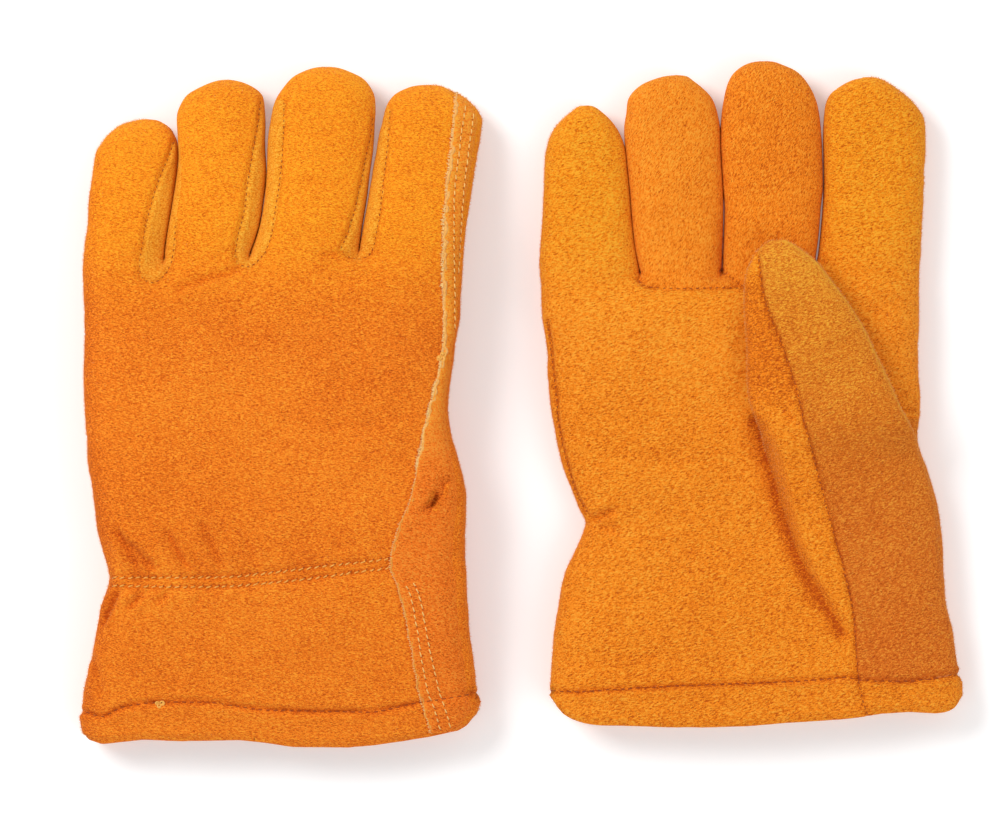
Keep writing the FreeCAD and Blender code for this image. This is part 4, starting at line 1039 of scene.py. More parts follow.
def emit_thumb(g, th, mats):
    side = g.side
    out = {}
    fork = np.zeros(len(th.V))
    for label, mask, mat in (("thumb_outer", th.outer, mats["wing"]), ("thumb_inner", ~th.outer, mats["palm"])):
        for code in (10, 11, 12):
            m = mask & (th.fzone == code)
            if not m.any():
                continue
            zone = zone_name(code)
            ob = shell_piece("%s_%s_%s" % (side, label, zone.replace("thumb_", "")), th.V, th.N, th.F[m], th.tone, fork, th.V, [mat, mats["inner"], mats["cut"]], "suede_palm")
            attach(ob, g, zone)
            out[(label, zone)] = ob
    return out


# ------------------------------------------------------------------ materials
def lin(r, g, b):
    return tuple(((c / 255.0) / 12.92 if c / 255.0 <= 0.04045 else ((c / 255.0 + 0.055) / 1.055) ** 2.4) for c in (r, g, b)) + (1.0,)


class Nodes:
    def __init__(self, name):
        self.m = bpy.data.materials.new(name)
        self.m.use_nodes = True
        self.t = self.m.node_tree
        self.t.nodes.clear()
        self.out = self.t.nodes.new("ShaderNodeOutputMaterial")
        self.b = self.t.nodes.new("ShaderNodeBsdfPrincipled")
        self.t.links.new(self.b.outputs[0], self.out.inputs[0])

    def put(self, kind, **kw):
        n = self.t.nodes.new(kind)
        for k, v in kw.items():
            setattr(n, k, v)
        return n

    def link(self, a, b):
        self.t.links.new(a, b)

    def attr(self, name, out="Fac"):
        n = self.put("ShaderNodeAttribute", attribute_name=name)
        return n.outputs[out]

    def math(self, op, a, b=0.0, clamp=False):
        n = self.put("ShaderNodeMath", operation=op, use_clamp=clamp)
        for i, v in enumerate((a, b)):
            if isinstance(v, (int, float)):
                n.inputs[i].default_value = v
            else:
                self.link(v, n.inputs[i])
        return n.outputs[0]

    def noise(self, vec, scale, detail=2.0, rough=0.55, distortion=0.0, stretch=None, angle=0.0):
        if stretch:
            mp = self.put("ShaderNodeMapping", vector_type="TEXTURE")
            mp.inputs["Rotation"].default_value = (0.0, 0.0, angle)
            mp.inputs["Scale"].default_value = stretch
            self.link(vec, mp.inputs["Vector"])
            vec = mp.outputs[0]
        n = self.put("ShaderNodeTexNoise")
        n.inputs["Scale"].default_value = scale
        n.inputs["Detail"].default_value = detail
        n.inputs["Roughness"].default_value = rough
        n.inputs["Distortion"].default_value = distortion
        self.link(vec, n.inputs["Vector"])
        return n.outputs["Fac"]

    def ramp(self, fac, stops):
        n = self.put("ShaderNodeValToRGB")
        cr = n.color_ramp
        while len(cr.elements) < len(stops):
            cr.elements.new(0.5)
        for e, (p, c) in zip(cr.elements, stops):
            e.position = p
            e.color = c
        self.link(fac, n.inputs[0])
        return n.outputs[0]

    def mix(self, fac, a, b, kind="MIX"):
        n = self.put("ShaderNodeMix", data_type="RGBA", blend_type=kind)
        for sock, v in ((n.inputs["Factor"], fac), (n.inputs["A"], a), (n.inputs["B"], b)):
            if sock.name in ("A", "B") and sock.type != "RGBA":
                continue
        ins = [i for i in n.inputs if i.type == "RGBA"]
        if isinstance(fac, (int, float)):
            n.inputs[0].default_value = fac
        else:
            self.link(fac, n.inputs[0])
        for sock, v in zip(ins, (a, b)):
            if isinstance(v, tuple):
                sock.default_value = v
            else:
                self.link(v, sock)
        return [o for o in n.outputs if o.type == "RGBA"][0]


def suede(name, base, dark, light, nap=1.0, angle=0.6, coarse=1.0, contrast=1.0, tint=None, rise=(0.02, 0.075)):
    k = Nodes(name)
    vec = k.attr("rest", "Vector")
    n0 = k.noise(vec, 30.0, 2.0)
    n1 = k.noise(vec, 140.0, 3.0, 0.6)
    n2 = k.noise(vec, 900.0 / coarse, 2.0, 0.6, 0.3)
    n3 = k.noise(vec, 2900.0 / coarse, 2.0, 0.65)
    fib = k.noise(vec, 2700.0 / coarse, 2.0, 0.6, 0.5, stretch=(3.0, 1.0, 1.6), angle=angle)
    fib2 = k.noise(vec, 2000.0 / coarse, 2.0, 0.6, 0.5, stretch=(2.4, 1.0, 1.4), angle=angle + 0.5)
    f = k.math("MULTIPLY", k.math("SUBTRACT", n0, 0.5), 0.14 * contrast)
    f = k.math("ADD", f, k.math("MULTIPLY", k.math("SUBTRACT", n1, 0.5), 0.13 * contrast))
    f = k.math("ADD", f, k.math("MULTIPLY", k.math("SUBTRACT", n2, 0.5), 0.14 * contrast))
    f = k.math("ADD", f, k.math("MULTIPLY", k.math("SUBTRACT", n3, 0.5), 1.15 * contrast))
    f = k.math("ADD", f, k.math("MULTIPLY", k.math("SUBTRACT", fib, 0.5), 1.75 * contrast))
    f = k.math("ADD", f, k.math("MULTIPLY", k.math("SUBTRACT", fib2, 0.5), 1.0 * contrast))
    f = k.math("ADD", f, k.attr("tone"), True)
    col = k.ramp(f, [(0.02, dark), (0.30, tuple(0.55 * a + 0.45 * b for a, b in zip(base, dark))), (0.52, base), (0.88, light)])
    if tint:
        # the leather is paler and yellower toward the fingertips
        xyz = k.put("ShaderNodeSeparateXYZ")
        k.link(vec, xyz.inputs[0])
        up = k.put("ShaderNodeMapRange", interpolation_type="SMOOTHSTEP")
        up.inputs["From Min"].default_value, up.inputs["From Max"].default_value = rise
        k.link(xyz.outputs["Y"], up.inputs["Value"])
        mix = k.put("ShaderNodeVectorMath", operation="MULTIPLY")
        two = k.put("ShaderNodeMix", data_type="VECTOR")
        k.link(up.outputs["Result"], two.inputs[0])
        two.inputs[4].default_value = (1.0, 1.0, 1.0)
        two.inputs[5].default_value = tint
        k.link(col, mix.inputs[0])
        k.link(two.outputs[1], mix.inputs[1])
        col = mix.outputs[0]
    k.link(col, k.b.inputs["Base Color"])
    h = k.math("ADD", k.math("MULTIPLY", n2, 0.3), k.math("ADD", k.math("MULTIPLY", n3, 0.45), k.math("ADD", k.math("MULTIPLY", fib, 0.8), k.math("MULTIPLY", fib2, 0.5))))
    bump = k.put("ShaderNodeBump")
    bump.inputs["Strength"].default_value = 1.0
    bump.inputs["Distance"].default_value = 0.00056 * nap
    k.link(h, bump.inputs["Height"])
    k.link(bump.outputs[0], k.b.inputs["Normal"])
    k.b.inputs["Roughness"].default_value = 0.95
    k.b.inputs["Specular IOR Level"].default_value = 0.12
    k.b.inputs["Sheen Weight"].default_value = 0.20
    k.b.inputs["Sheen Roughness"].default_value = 0.4
    k.b.inputs["Sheen Tint"].default_value = lin(255, 196, 96)
    return k.m


def plain_fibre(name, a, b, scale, bump_mm, rough=0.9, sheen=0.2, stretch=None, coord="rest"):
    k = Nodes(name)
    if coord == "rest":
        vec = k.attr("rest", "Vector")
    else:
        tc = k.put("ShaderNodeTexCoord")
        vec = tc.outputs["Object"]
    n1 = k.noise(vec, scale, 3.0, 0.6, 0.4, stretch=stretch)
    n2 = k.noise(vec, scale * 3.1, 2.0)
    f = k.math("ADD", k.math("MULTIPLY", n1, 0.7), k.math("MULTIPLY", n2, 0.3))
    k.link(k.ramp(f, [(0.30, a), (0.70, b)]), k.b.inputs["Base Color"])
    bump = k.put("ShaderNodeBump")
    bump.inputs["Distance"].default_value = bump_mm * 0.001
    k.link(f, bump.inputs["Height"])
    k.link(bump.outputs[0], k.b.inputs["Normal"])
    k.b.inputs["Roughness"].default_value = rough
    k.b.inputs["Specular IOR Level"].default_value = 0.2
    k.b.inputs["Sheen Weight"].default_value = sheen
    return k.m


MAT = {
    "left_back": suede("suede_left_back", lin(244, 124, 27), lin(180, 69, 12), lin(253, 164, 50), 0.9, -0.2, 1.0, tint=(1.0, 1.10, 0.60)),
    "left_palm": suede("suede_left_palm", lin(237, 134, 30), lin(186, 77, 13), lin(253, 172, 60), 1.3, -0.2, 1.25),
    "left_fork": suede("suede_left_fork", lin(243, 142, 34), lin(198, 87, 16), lin(253, 180, 72), 0.95, -0.1, 1.0, tint=(1.0, 1.06, 0.72)),
    "left_wing": suede("suede_left_wing", lin(251, 123, 31), lin(178, 69, 12), lin(246, 158, 58), 1.1, -0.3, 1.0, tint=(1.0, 1.20, 1.05), rise=(-0.03, 0.03)),
    "right_back": suede("suede_right_back", lin(235, 124, 28), lin(182, 71, 12), lin(252, 160, 52), 0.85, -0.2, 1.0),
    "right_palm": suede("suede_right_palm", lin(251, 139, 26), lin(186, 75, 12), lin(254, 174, 58), 1.4, 0.2, 1.25, tint=(0.99, 1.06, 0.72), rise=(0.02, 0.08)),
    "right_fork": suede("suede_right_fork", lin(239, 138, 34), lin(194, 83, 15), lin(250, 172, 72), 0.9, 0.3, 1.0),
    "right_wing": suede("suede_right_wing", lin(222, 112, 31), lin(172, 69, 13), lin(240, 158, 56), 1.1, 0.2, 1.1, tint=(1.05, 1.28, 1.0), rise=(-0.06, 0.04)),
    "right_two": suede("suede_right_two", lin(249, 134, 25), lin(184, 71, 11), lin(253, 166, 54), 1.25, 0.9, 1.15),
    "cut": plain_fibre("leather_cut_edge", lin(214, 140, 66), lin(250, 206, 138), 900.0, 0.35),
    "inner": plain_fibre("leather_flesh_side", lin(190, 96, 34), lin(226, 140, 70), 600.0, 0.3),
    "raw": plain_fibre("raw_edge_fibre", lin(238, 176, 84), lin(254, 222, 150), 1200.0, 0.2, 0.95, 0.3, coord="object"),
    "bead": plain_fibre("cut_edge_bead", lin(214, 136, 50), lin(246, 192, 106), 1100.0, 0.4, 0.95, 0.3, coord="object"),
    "bead_low": plain_fibre("cut_edge_low", lin(206, 122, 34), lin(238, 168, 72), 1100.0, 0.35, 0.95, 0.3, coord="object"),
    "fuzz": plain_fibre("nap_fuzz", lin(232, 140, 40), lin(250, 186, 84), 900.0, 0.1, 1.0, 0.4, coord="object"),
    "pale": plain_fibre("thread_pale", lin(226, 172, 84), lin(252, 214, 130), 1500.0, 0.12, 0.7, 0.1, coord="object"),
    "gold": plain_fibre("thread_gold", lin(224, 150, 50), lin(250, 196, 98), 1500.0, 0.12, 0.7, 0.1, coord="object"),
    "brown": plain_fibre("thread_brown", lin(146, 62, 12), lin(176, 84, 20), 1500.0, 0.12, 0.7, 0.1, coord="object"),
    "fleece": plain_fibre("fleece_lining", lin(214, 206, 188), lin(247, 242, 229), 420.0, 0.8, 1.0, 0.5),
    "elastic": plain_fibre("woven_elastic", lin(170, 156, 122), lin(206, 194, 160), 900.0, 0.25, 0.85, 0.1, stretch=(0.3, 2.0, 1.0)),
}


# ------------------------------------------------------- stitches and trims
class Bag:
    """Collects small pieces by material and zone, then makes one object for each."""

    def __init__(self):
        self.d = {}

    def add(self, kind, zone, verts, faces):
        V, F = self.d.setdefault((kind, zone), ([], []))
        n = len(V)
        V.extend(verts)
        F.extend([[i + n for i in f] for f in faces])


def tube(points, radii, sides=6):
    pts = [np.array(p, float) for p in points]
    verts, faces = [], []
    n = len(pts)
    for i, (p, r) in enumerate(zip(pts, radii)):
        d = pts[min(i + 1, n - 1)] - pts[max(i - 1, 0)]
        d = d / (np.linalg.norm(d) or 1)
        ref = np.array([0, 0, 1.0]) if abs(d[2]) < 0.9 else np.array([1.0, 0, 0])
        a = np.cross(d, ref); a /= np.linalg.norm(a)
        b = np.cross(a, d)
        for k in range(sides):
            t = 2 * math.pi * k / sides
            verts.append(tuple(p + r * (math.cos(t) * a + math.sin(t) * b)))
    for i in range(n - 1):
        for k in range(sides):
            a0 = i * sides + k
            a1 = i * sides + (k + 1) % sides
            faces.append([a0, a1, a1 + sides, a0 + sides])
    faces.append(list(range(sides))[::-1])
    faces.append([(n - 1) * sides + k for k in range(sides)])
    return verts, faces


class Surface:
    def __init__(self, parts, s):
        """parts: list of (V, F, zones); rays come from outside on the side s."""
        self.t = [(BVHTree.FromPolygons(V.tolist(), [tuple(dict.fromkeys(q)) for q in F.tolist()]), z) for V, F, z in parts]
        self.s = s

    def hit(self, x, y, s=None):
        s = s or self.s
        best = None
        for bvh, z in self.t:
            h = bvh.ray_cast(Vector((float(x), float(y), 200.0 * s)), Vector((0, 0, -s)))
            if h[0] is not None and (best is None or (h[0].z - best[0].z) * s > 0):
                n = h[1] if h[1].z * s > 0 else -h[1]
                best = (h[0], n, int(z[h[2]]))
        return best


def stitch_row(bag, surf, line, kind, pitch=3.0, share=0.66, r=0.34, lift=0.25, slant=0.0, s=1, jitter=0.12, phase=0.0, sink=0.35):
    pts = smooth_line(line, 0.5, 2)
    seg = np.hypot(*(pts[1:] - pts[:-1]).T)
    run = np.concatenate([[0], np.cumsum(seg)])
    n = int(run[-1] / pitch)
    for i in range(n):
        rnd = [float(lattice(np.array([i]), np.array([j]), np.array([0]), 5 + len(line))[0]) for j in range(4)]
        c = (i + 0.5 + phase) * run[-1] / n + rnd[0] * jitter * pitch * 0.5
        h = pitch * share * (0.5 + 0.08 * rnd[1])
        P = []
        zone = None
        ok = True
        for k in (-1.0, -0.72, 0.0, 0.72, 1.0):
            q = c + h * k
            x = float(np.interp(q, run, pts[:, 0])); y = float(np.interp(q, run, pts[:, 1]))
            a = max(q - 0.6, 0); b = min(q + 0.6, run[-1])
            dx = float(np.interp(b, run, pts[:, 0]) - np.interp(a, run, pts[:, 0])); dy = float(np.interp(b, run, pts[:, 1]) - np.interp(a, run, pts[:, 1]))
            L = math.hypot(dx, dy) or 1
            off = slant * k * h + rnd[2] * 0.08
            hit = surf.hit(x - dy / L * off, y + dx / L * off, s)
            if hit is None:
                ok = False
                break
            if k == 0.0:
                zone = hit[2]
            up = {1.0: -sink, 0.72: lift * 0.7, 0.0: lift}[abs(k)]
            P.append(np.array(hit[0]) + np.array(hit[1]) * up)
        if not ok:
            continue
        # the stitch bridges its groove
        top = (P[1] + P[3]) / 2
        if np.dot(P[2] - top, [0, 0, s]) < 0:
            P[2] = top
        v, f = tube(P, [r * 0.5, r * 0.95, r, r * 0.95, r * 0.5])
        bag.add(kind, zone, v, f)
        # a short brown bar just past the stitch's end is painted shade in its needle hole
        if kind in ("gold", "pale"):
            ax = (P[4] - P[0]) / (np.linalg.norm(P[4] - P[0]) or 1)
            hit = surf.hit(P[4][0] + ax[0] * 0.2, P[4][1] + ax[1] * 0.2, s)
            if hit is not None:
                q = np.array(hit[0]) + np.array(hit[1]) * 0.02
                v, f = tube([q - ax * 0.38, q, q + ax * 0.38], [0.10, 0.19, 0.10])
                bag.add("brown", hit[2], v, f)


def emit_bag(bag, g, label, slotname="thread"):
    out = {}
    for (kind, code), (V, F) in sorted(bag.d.items()):
        zone = zone_name(code)
        ob = make_object("%s_%s_%s_%s" % (g.side, label, kind, zone), np.array(V), F, [MAT[kind]], slot=slotname)
        if kind == "raw" or kind == "cut":
            a = ob.data.attributes.new("rest", "FLOAT_VECTOR", "POINT")
            a.data.foreach_set("vector", np.array([v.co for v in ob.data.vertices], np.float32).ravel())
        attach(ob, g, zone)
        out[(kind, zone)] = ob
    return out


def lap_strip(g, surf):
    """The palm leather laps over the back panel along the index finger side and down to the hem."""
    tab = g.tab
    line = smooth_line(tab["lap"], 0.75, 2)
    idx = tab["fingers"]["index"]
    # end the strip where the upper hem ends, before it would drop into the cuff's mouth
    heights = [surf.hit(x, y, 1) for x, y in line]
    keep = len(line)
    for i in range(len(line) * 2 // 3, len(line)):
        if heights[i] is None or (heights[i - 1] is not None and heights[i - 1][0].z - heights[i][0].z > 2.5):
            keep = i - 1
            break
    line = line[:keep]
    n = len(line)
    offs = np.array([0, 0.12, 0.4, 0.9, 1.6, 2.5, 3.6, 5.0, 6.8, 9.0, 12.0, 16.0, 21.0, 27.0])
    # direction of the line and its normal to the right of travel (towards the side edge)
    X = np.zeros((n, len(offs))); Y = np.zeros_like(X); Z = np.zeros_like(X); zone = np.zeros((n, len(offs)), int)
    for i, (x, y) in enumerate(line):
        xr = float(interp(idx, y, 2)) if y > 59.0 else float(interp(tab["R"], y))
        while xr > x + 2.0 and surf.hit(xr - 0.6, y, 1) is None:
            xr -= 0.4
        width = max(xr - 0.9 - x, 1.2)
        jag = 0.28 * float(noise3(np.array([[0, y, 0]]), 1.6, 5)[0]) + 0.30 * float(noise3(np.array([[0, y, 0]]), 5.5, 6)[0])
        m = width / offs[-1] if width < offs[-1] else 1.0
        prof = offs if width > offs[-1] else offs * m
        for j, o in enumerate(prof):
            xx = x + o + jag * max(0, 1 - o / 1.2)
            if j == len(prof) - 1:
                xx = x + width
            h = surf.hit(xx, y, 1)
            if h is None:
                h = surf.hit(xx - 0.8, y, 1)
            if h is not None and i > n // 2 and Z[i - 1, j] - h[0].z > 2.5:
                h = None
            X[i, j], Y[i, j] = xx, y
            Z[i, j] = h[0].z if h else (Z[i - 1, j] if i else 26.0)
            zone[i, j] = h[2] if h else (zone[i - 1, j] if i else 9)
    for _ in range(2):
        Z[1:-1] = (Z[:-2] + 2 * Z[1:-1] + Z[2:]) / 4
    share = (X - X[:, :1]) / (X[:, -1:] - X[:, :1])
    rise = 1.15 * (1 - sstep((share - 0.80) / 0.2)) - 0.30 * sstep((share - 0.80) / 0.2)
    edge = sstep((X - X[:, :1]) / 0.5)
    P = np.column_stack([X.ravel(), Y.ravel(), Z.ravel()])
    lumps = 0.10 * noise3(P, 2.2, 9) + 0.12 * noise3(P, 6.0, 10)
    groove = np.zeros(P.shape[0])
    for ln in tab["lap_rows"]:
        gr, dd, al, sd, fade = seam_groove(P[:, 0], P[:, 1], ln, 0.42, 0.6, 3.0)
        groove += gr
    # painted shade in the creases that cross the strip
    dark = np.zeros(P.shape[0])
    for ln, depth, width in tab["creases"]:
        gr, dd, al, sd, fade = seam_groove(P[:, 0], P[:, 1], ln, depth, width)
        groove += 0.8 * gr * fade
        dark += 0.12 * depth * np.exp(-(dd / (0.8 * width)) ** 2) * fade
    ZT = Z + rise * (0.55 + 0.45 * edge) + (lumps - groove).reshape(Z.shape)
    # edge folds down to the panel beneath
    verts = [P * 0]
    top = np.column_stack([X.ravel(), Y.ravel(), ZT.ravel()])
    side = np.column_stack([X[:, 0] - 0.10, Y[:, 0], Z[:, 0] - 0.35])
    V = np.vstack([top, side])
    c = X.shape[1]
    # the strip carries painted shade in its creases and is also darker where its creases and stitch rows sink in
    tone = 0.5 + 0.03 * noise3(V, 9.0, 31) - np.concatenate([dark + 0.12 * np.minimum(groove, 0.6), np.zeros(n)])
    # light, rubbed band next to the raw edge
    rub = np.concatenate([np.exp(-((X - X[:, :1]).ravel() / 0.9)), np.ones(n)])
    tone = tone + 0.26 * rub + 0.13 * np.concatenate([sstep((Y.ravel() + 26.0) / 14.0), np.zeros(n)])
    out = {}
    fz = zone[:-1, 6]
    # keep bands of rows in one zone
    for code in sorted(set(fz.tolist())):
        rows = [i for i in range(n - 1) if fz[i] == code]
        faces, mi = [], []
        for i in rows:
            for j in range(c - 1):
                a = i * c + j
                faces.append([a, a + c, a + c + 1, a + 1])
                mi.append(0)
            a = n * c + i
            faces.append([a, a + 1, (i + 1) * c, i * c])
            mi.append(1)
        used = sorted({k for f in faces for k in f})
        lut = {k: q for q, k in enumerate(used)}
        f2 = [[lut[k] for k in f] for f in faces]
        # orientation: outward is up
        f2 = [f[::-1] if np.cross(V[f0[1]] - V[f0[0]], V[f0[2]] - V[f0[0]])[2] < 0 and m == 0 else f for f, f0, m in zip(f2, faces, mi)]
        zn = zone_name(code)
        ob = make_object("%s_side_lap_%s" % (g.side, zn), V[used], f2, [MAT["left_wing"], MAT["raw"]],
                         {"tone": tone[used], "fork": np.zeros(len(used))}, slot="suede_palm")
        ob.data.polygons.foreach_set("material_index", np.array(mi, np.int32)[:len(ob.data.polygons)])
        a = ob.data.attributes.new("rest", "FLOAT_VECTOR", "POINT")
        a.data.foreach_set("vector", (V[used] * MM).astype(np.float32).ravel())
        attach(ob, g, zn)
        out[zn] = ob
    g.lap_line = (X, Y, ZT, zone)
    return out


def fringe(bag, g):
    """Short pale fibres along the raw edge of the lap."""
    X, Y, ZT, zone = g.lap_line
    n = X.shape[0]
    for i in range(0, n - 1):
        for q in range(3):
            r = [float(lattice(np.array([i]), np.array([q]), np.array([k]), 77)[0]) for k in range(5)]
            t = (q + 0.5 + 0.5 * r[0]) / 3
            x = X[i, 0] * (1 - t) + X[i + 1, 0] * t
            y = Y[i, 0] * (1 - t) + Y[i + 1, 0] * t
            z = ZT[i, 1] + 0.05
            ln = 0.7 + 0.6 * abs(r[1]) + 1.4 * max(0, r[4] - 0.5)
            if y < -24 and q:
                continue
            if y < -24:
                ln *= 0.45
            a = math.radians(180 + 55 * r[2])
            p0 = (x + 0.35, y, z - 0.05)
            p1 = (x + math.cos(a) * ln * 0.5, y + math.sin(a) * ln * 0.5, z + 0.12 + 0.10 * r[3])
            p2 = (x + math.cos(a) * ln, y + math.sin(a) * ln, z - 0.25 + 0.15 * r[3])
            v, f = tube([p0, p1, p2], [0.17, 0.15, 0.06], 4)
            bag.add("raw", int(zone[i, 6]), v, f)


def bead(bag, g):
    """Thick cut edge of the lapped leather: bumpy, pale where it is rubbed."""
    X, Y, ZT, zone = g.lap_line
    n = X.shape[0]
    P = np.column_stack([X[:, 0], Y[:, 0], ZT[:, 1]])
    upper = sstep((Y[:, 0] + 26.0) / 12.0)
    r = (0.32 + 0.20 * upper) * (1 + 0.42 * noise3(P * np.array([0, 1, 0]), 2.1, 21) + 0.30 * noise3(P * np.array([0, 1, 0]), 1.1, 22))
    wob = noise3(P * np.array([0, 1, 0]), 1.7, 25) + 0.6 * noise3(P * np.array([0, 1, 0]), 0.9, 26)
    for code in sorted(set(zone[:-1, 6].tolist())):
        rows = [i for i in range(n - 1) if zone[i, 6] == code]
        for lo, hi, kind in ((-26.0, 999.0, "bead"), (-999.0, -26.0, "bead_low")):
            sel = [i for i in rows if lo <= Y[i, 0] < hi]
            if len(sel) < 2:
                continue
            sel = sel + [min(sel[-1] + 1, n - 1)]
            pts = [(X[i, 0] + 0.45 + 0.55 * wob[i], Y[i, 0], ZT[i, 2] - 0.22 + 0.10 * upper[i]) for i in sel]
            v, f = tube(pts, [r[i] for i in sel], 10)
            bag.add(kind, int(code), v, f)


def fuzz(bag, V, N, F, zones, per_mm2, seed, lo=0.6, hi=1.1, rim=0.55, r0=0.055, top=0.0):
    """Short nap hairs standing on the surface where it turns away, and a few elsewhere."""
    a, b, c, d = V[F[:, 0]], V[F[:, 1]], V[F[:, 2]], V[F[:, 3]]
    area_ = 0.5 * np.linalg.norm(np.cross(c - a, d - b), axis=1)
    nz = np.abs(N[F].mean(1)[:, 2])
    w = area_ * per_mm2 * (np.clip((rim - nz) / rim, 0, 1) + top)
    i = np.arange(len(F))
    rnd = (lattice(i, i * 0 + seed, i * 0, 5) + 1) / 2
    cnt = np.floor(w + rnd).astype(int)
    for f in np.nonzero(cnt)[0]:
        for q in range(int(cnt[f])):
            k = np.array([f]); z = np.array([q])
            r = [(float(lattice(k, z, np.array([m]), seed)[0]) + 1) / 2 for m in range(6)]
            u, v = r[0], r[1]
            p = (a[f] * (1 - u) + b[f] * u) * (1 - v) + (d[f] * (1 - u) + c[f] * u) * v
            n = N[F[f, 0]]
            e = b[f] - a[f]
            e = e / (np.linalg.norm(e) + 1e-9)
            g_ = np.cross(n, e)
            ln = lo + (hi - lo) * r[2]
            dirn = n * (0.55 + 0.5 * r[3]) + e * (r[4] - 0.5) * 1.6 + g_ * (r[5] - 0.5) * 1.6
            dirn /= np.linalg.norm(dirn) + 1e-9
            m = p + dirn * ln * 0.5 + n * 0.05
            tip = p + dirn * ln - n * 0.10 * ln
            s1 = np.cross(dirn, n) if abs(np.dot(dirn, n)) < 0.98 else e
            s1 = s1 / (np.linalg.norm(s1) + 1e-9)
            s2 = np.cross(dirn, s1)
            tri = [(s1, 1.0), (-0.5 * s1 + 0.87 * s2, 1.0), (-0.5 * s1 - 0.87 * s2, 1.0)]
            base_ = p - n * 0.12
            vs = [tuple(base_ + t_[0] * r0) for t_ in tri] + [tuple(m + t_[0] * r0 * 0.8) for t_ in tri] + [tuple(tip)]
            fs = [[0, 1, 4, 3], [1, 2, 5, 4], [2, 0, 3, 5], [3, 4, 6], [4, 5, 6], [5, 3, 6]]
            bag.add("fuzz", int(zones[f]), vs, fs)


def loop_tuft(bag, surf, x, y, kind, scale, count, seed, s):
    h = surf.hit(x, y, s)
    if h is None:
        return
    c = np.array(h[0]); code = h[2]
    for k in range(count):
        r = [float(lattice(np.array([k]), np.array([j]), np.array([1]), seed)[0]) for j in range(5)]
        a = 2 * math.pi * k / count + r[0]
        pts = []
        for t in np.linspace(0, 1, 7):
            rad = scale * math.sin(math.pi * t) * (0.9 + 0.4 * r[1])
            pts.append(c + np.array([math.cos(a + 2.4 * t) * rad, math.sin(a + 2.4 * t) * rad, s * (0.2 + scale * 0.5 * math.sin(math.pi * t) + 0.25 * r[2])]))
        v, f = tube(pts, [0.30] * 7, 6)
        bag.add(kind, code, v, f)


# --------------------------------------------------------- inside the glove
def tube_sheet(g, y_lo, y_hi, inset, name, mat, slotname, code_split, both=True, thick=0.9, wave=0.35, deep=0.0):
    """A soft tube following the glove's section, inset from it."""
    tab, side = g.tab, g.side
    s = g.s
    zh = 11.5 if s > 0 else 26.0
    U = np.linspace(0, 1, 73)
    Yc = np.interp(0.5, [0, 1], [0, 0])
    rows = int((y_hi - y_lo) / 2.0) + 1
    ys = np.linspace(y_lo, y_hi, rows)
    X = np.zeros((rows, len(U))); Y = np.zeros_like(X); ZT = np.zeros_like(X); ZB = np.zeros_like(X)
    inset0 = inset
    for r, y in enumerate(ys):
        inset = inset0 + deep * float(sstep((y + 88.0) / 14.0))
        xl, xr = float(interp(tab["L"], y)) + inset, float(interp(tab["R"], y)) - inset
        th = float(interp(tab["T"], y)) - inset
        X[r] = xl + U * (xr - xl)
        Y[r] = y
        ZT[r] = zh + th * section(U, 5.0, 2.3)
        ZB[r] = zh - th * section(U, 7.0, 2.6)
    if s < 0:
        dz = math.tan(math.radians(TILT["cuff"])) * softplus(g.wrist[1] - Y, 4.0)
        ZT -= dz
        ZB -= dz
    V = [np.column_stack([X.ravel(), Y.ravel(), ZT.ravel()])]
    idx = np.arange(X.size).reshape(X.shape)
    q = np.stack([idx[:-1, :-1], idx[:-1, 1:], idx[1:, 1:], idx[1:, :-1]], -1).reshape(-1, 4)
    F = [q]
    if both:
        V.append(np.column_stack([X.ravel(), Y.ravel(), ZB.ravel()]))
        F.append((q + X.size)[:, ::-1])
    V, F = np.vstack(V), np.vstack(F)
    V, F, _ = weld(V, F, {})
    ok = np.array([len(set(a)) >= 3 for a in F.tolist()])
    F = F[ok]
    N = vertex_normals(V, F)
    V = V + N * (wave * noise3(V, 5.0, 3) + wave * 0.5 * noise3(V, 2.4, 4))[:, None]
    N = vertex_normals(V, F)
    out = {}
    fy = V[F].mean(1)[:, 1]
    for zn, m in (("hand", fy >= g.wrist[1] + 14.6), ("cuff", fy < g.wrist[1] + 14.6)):
        if not m.any():
            continue
        ob = shell_piece("%s_%s_%s" % (side, name, zn), V, N, F[m], np.full(len(V), 0.5), np.zeros(len(V)), V, [mat], slotname, thick)
        attach(ob, g, zn)
        out[zn] = ob
    return out


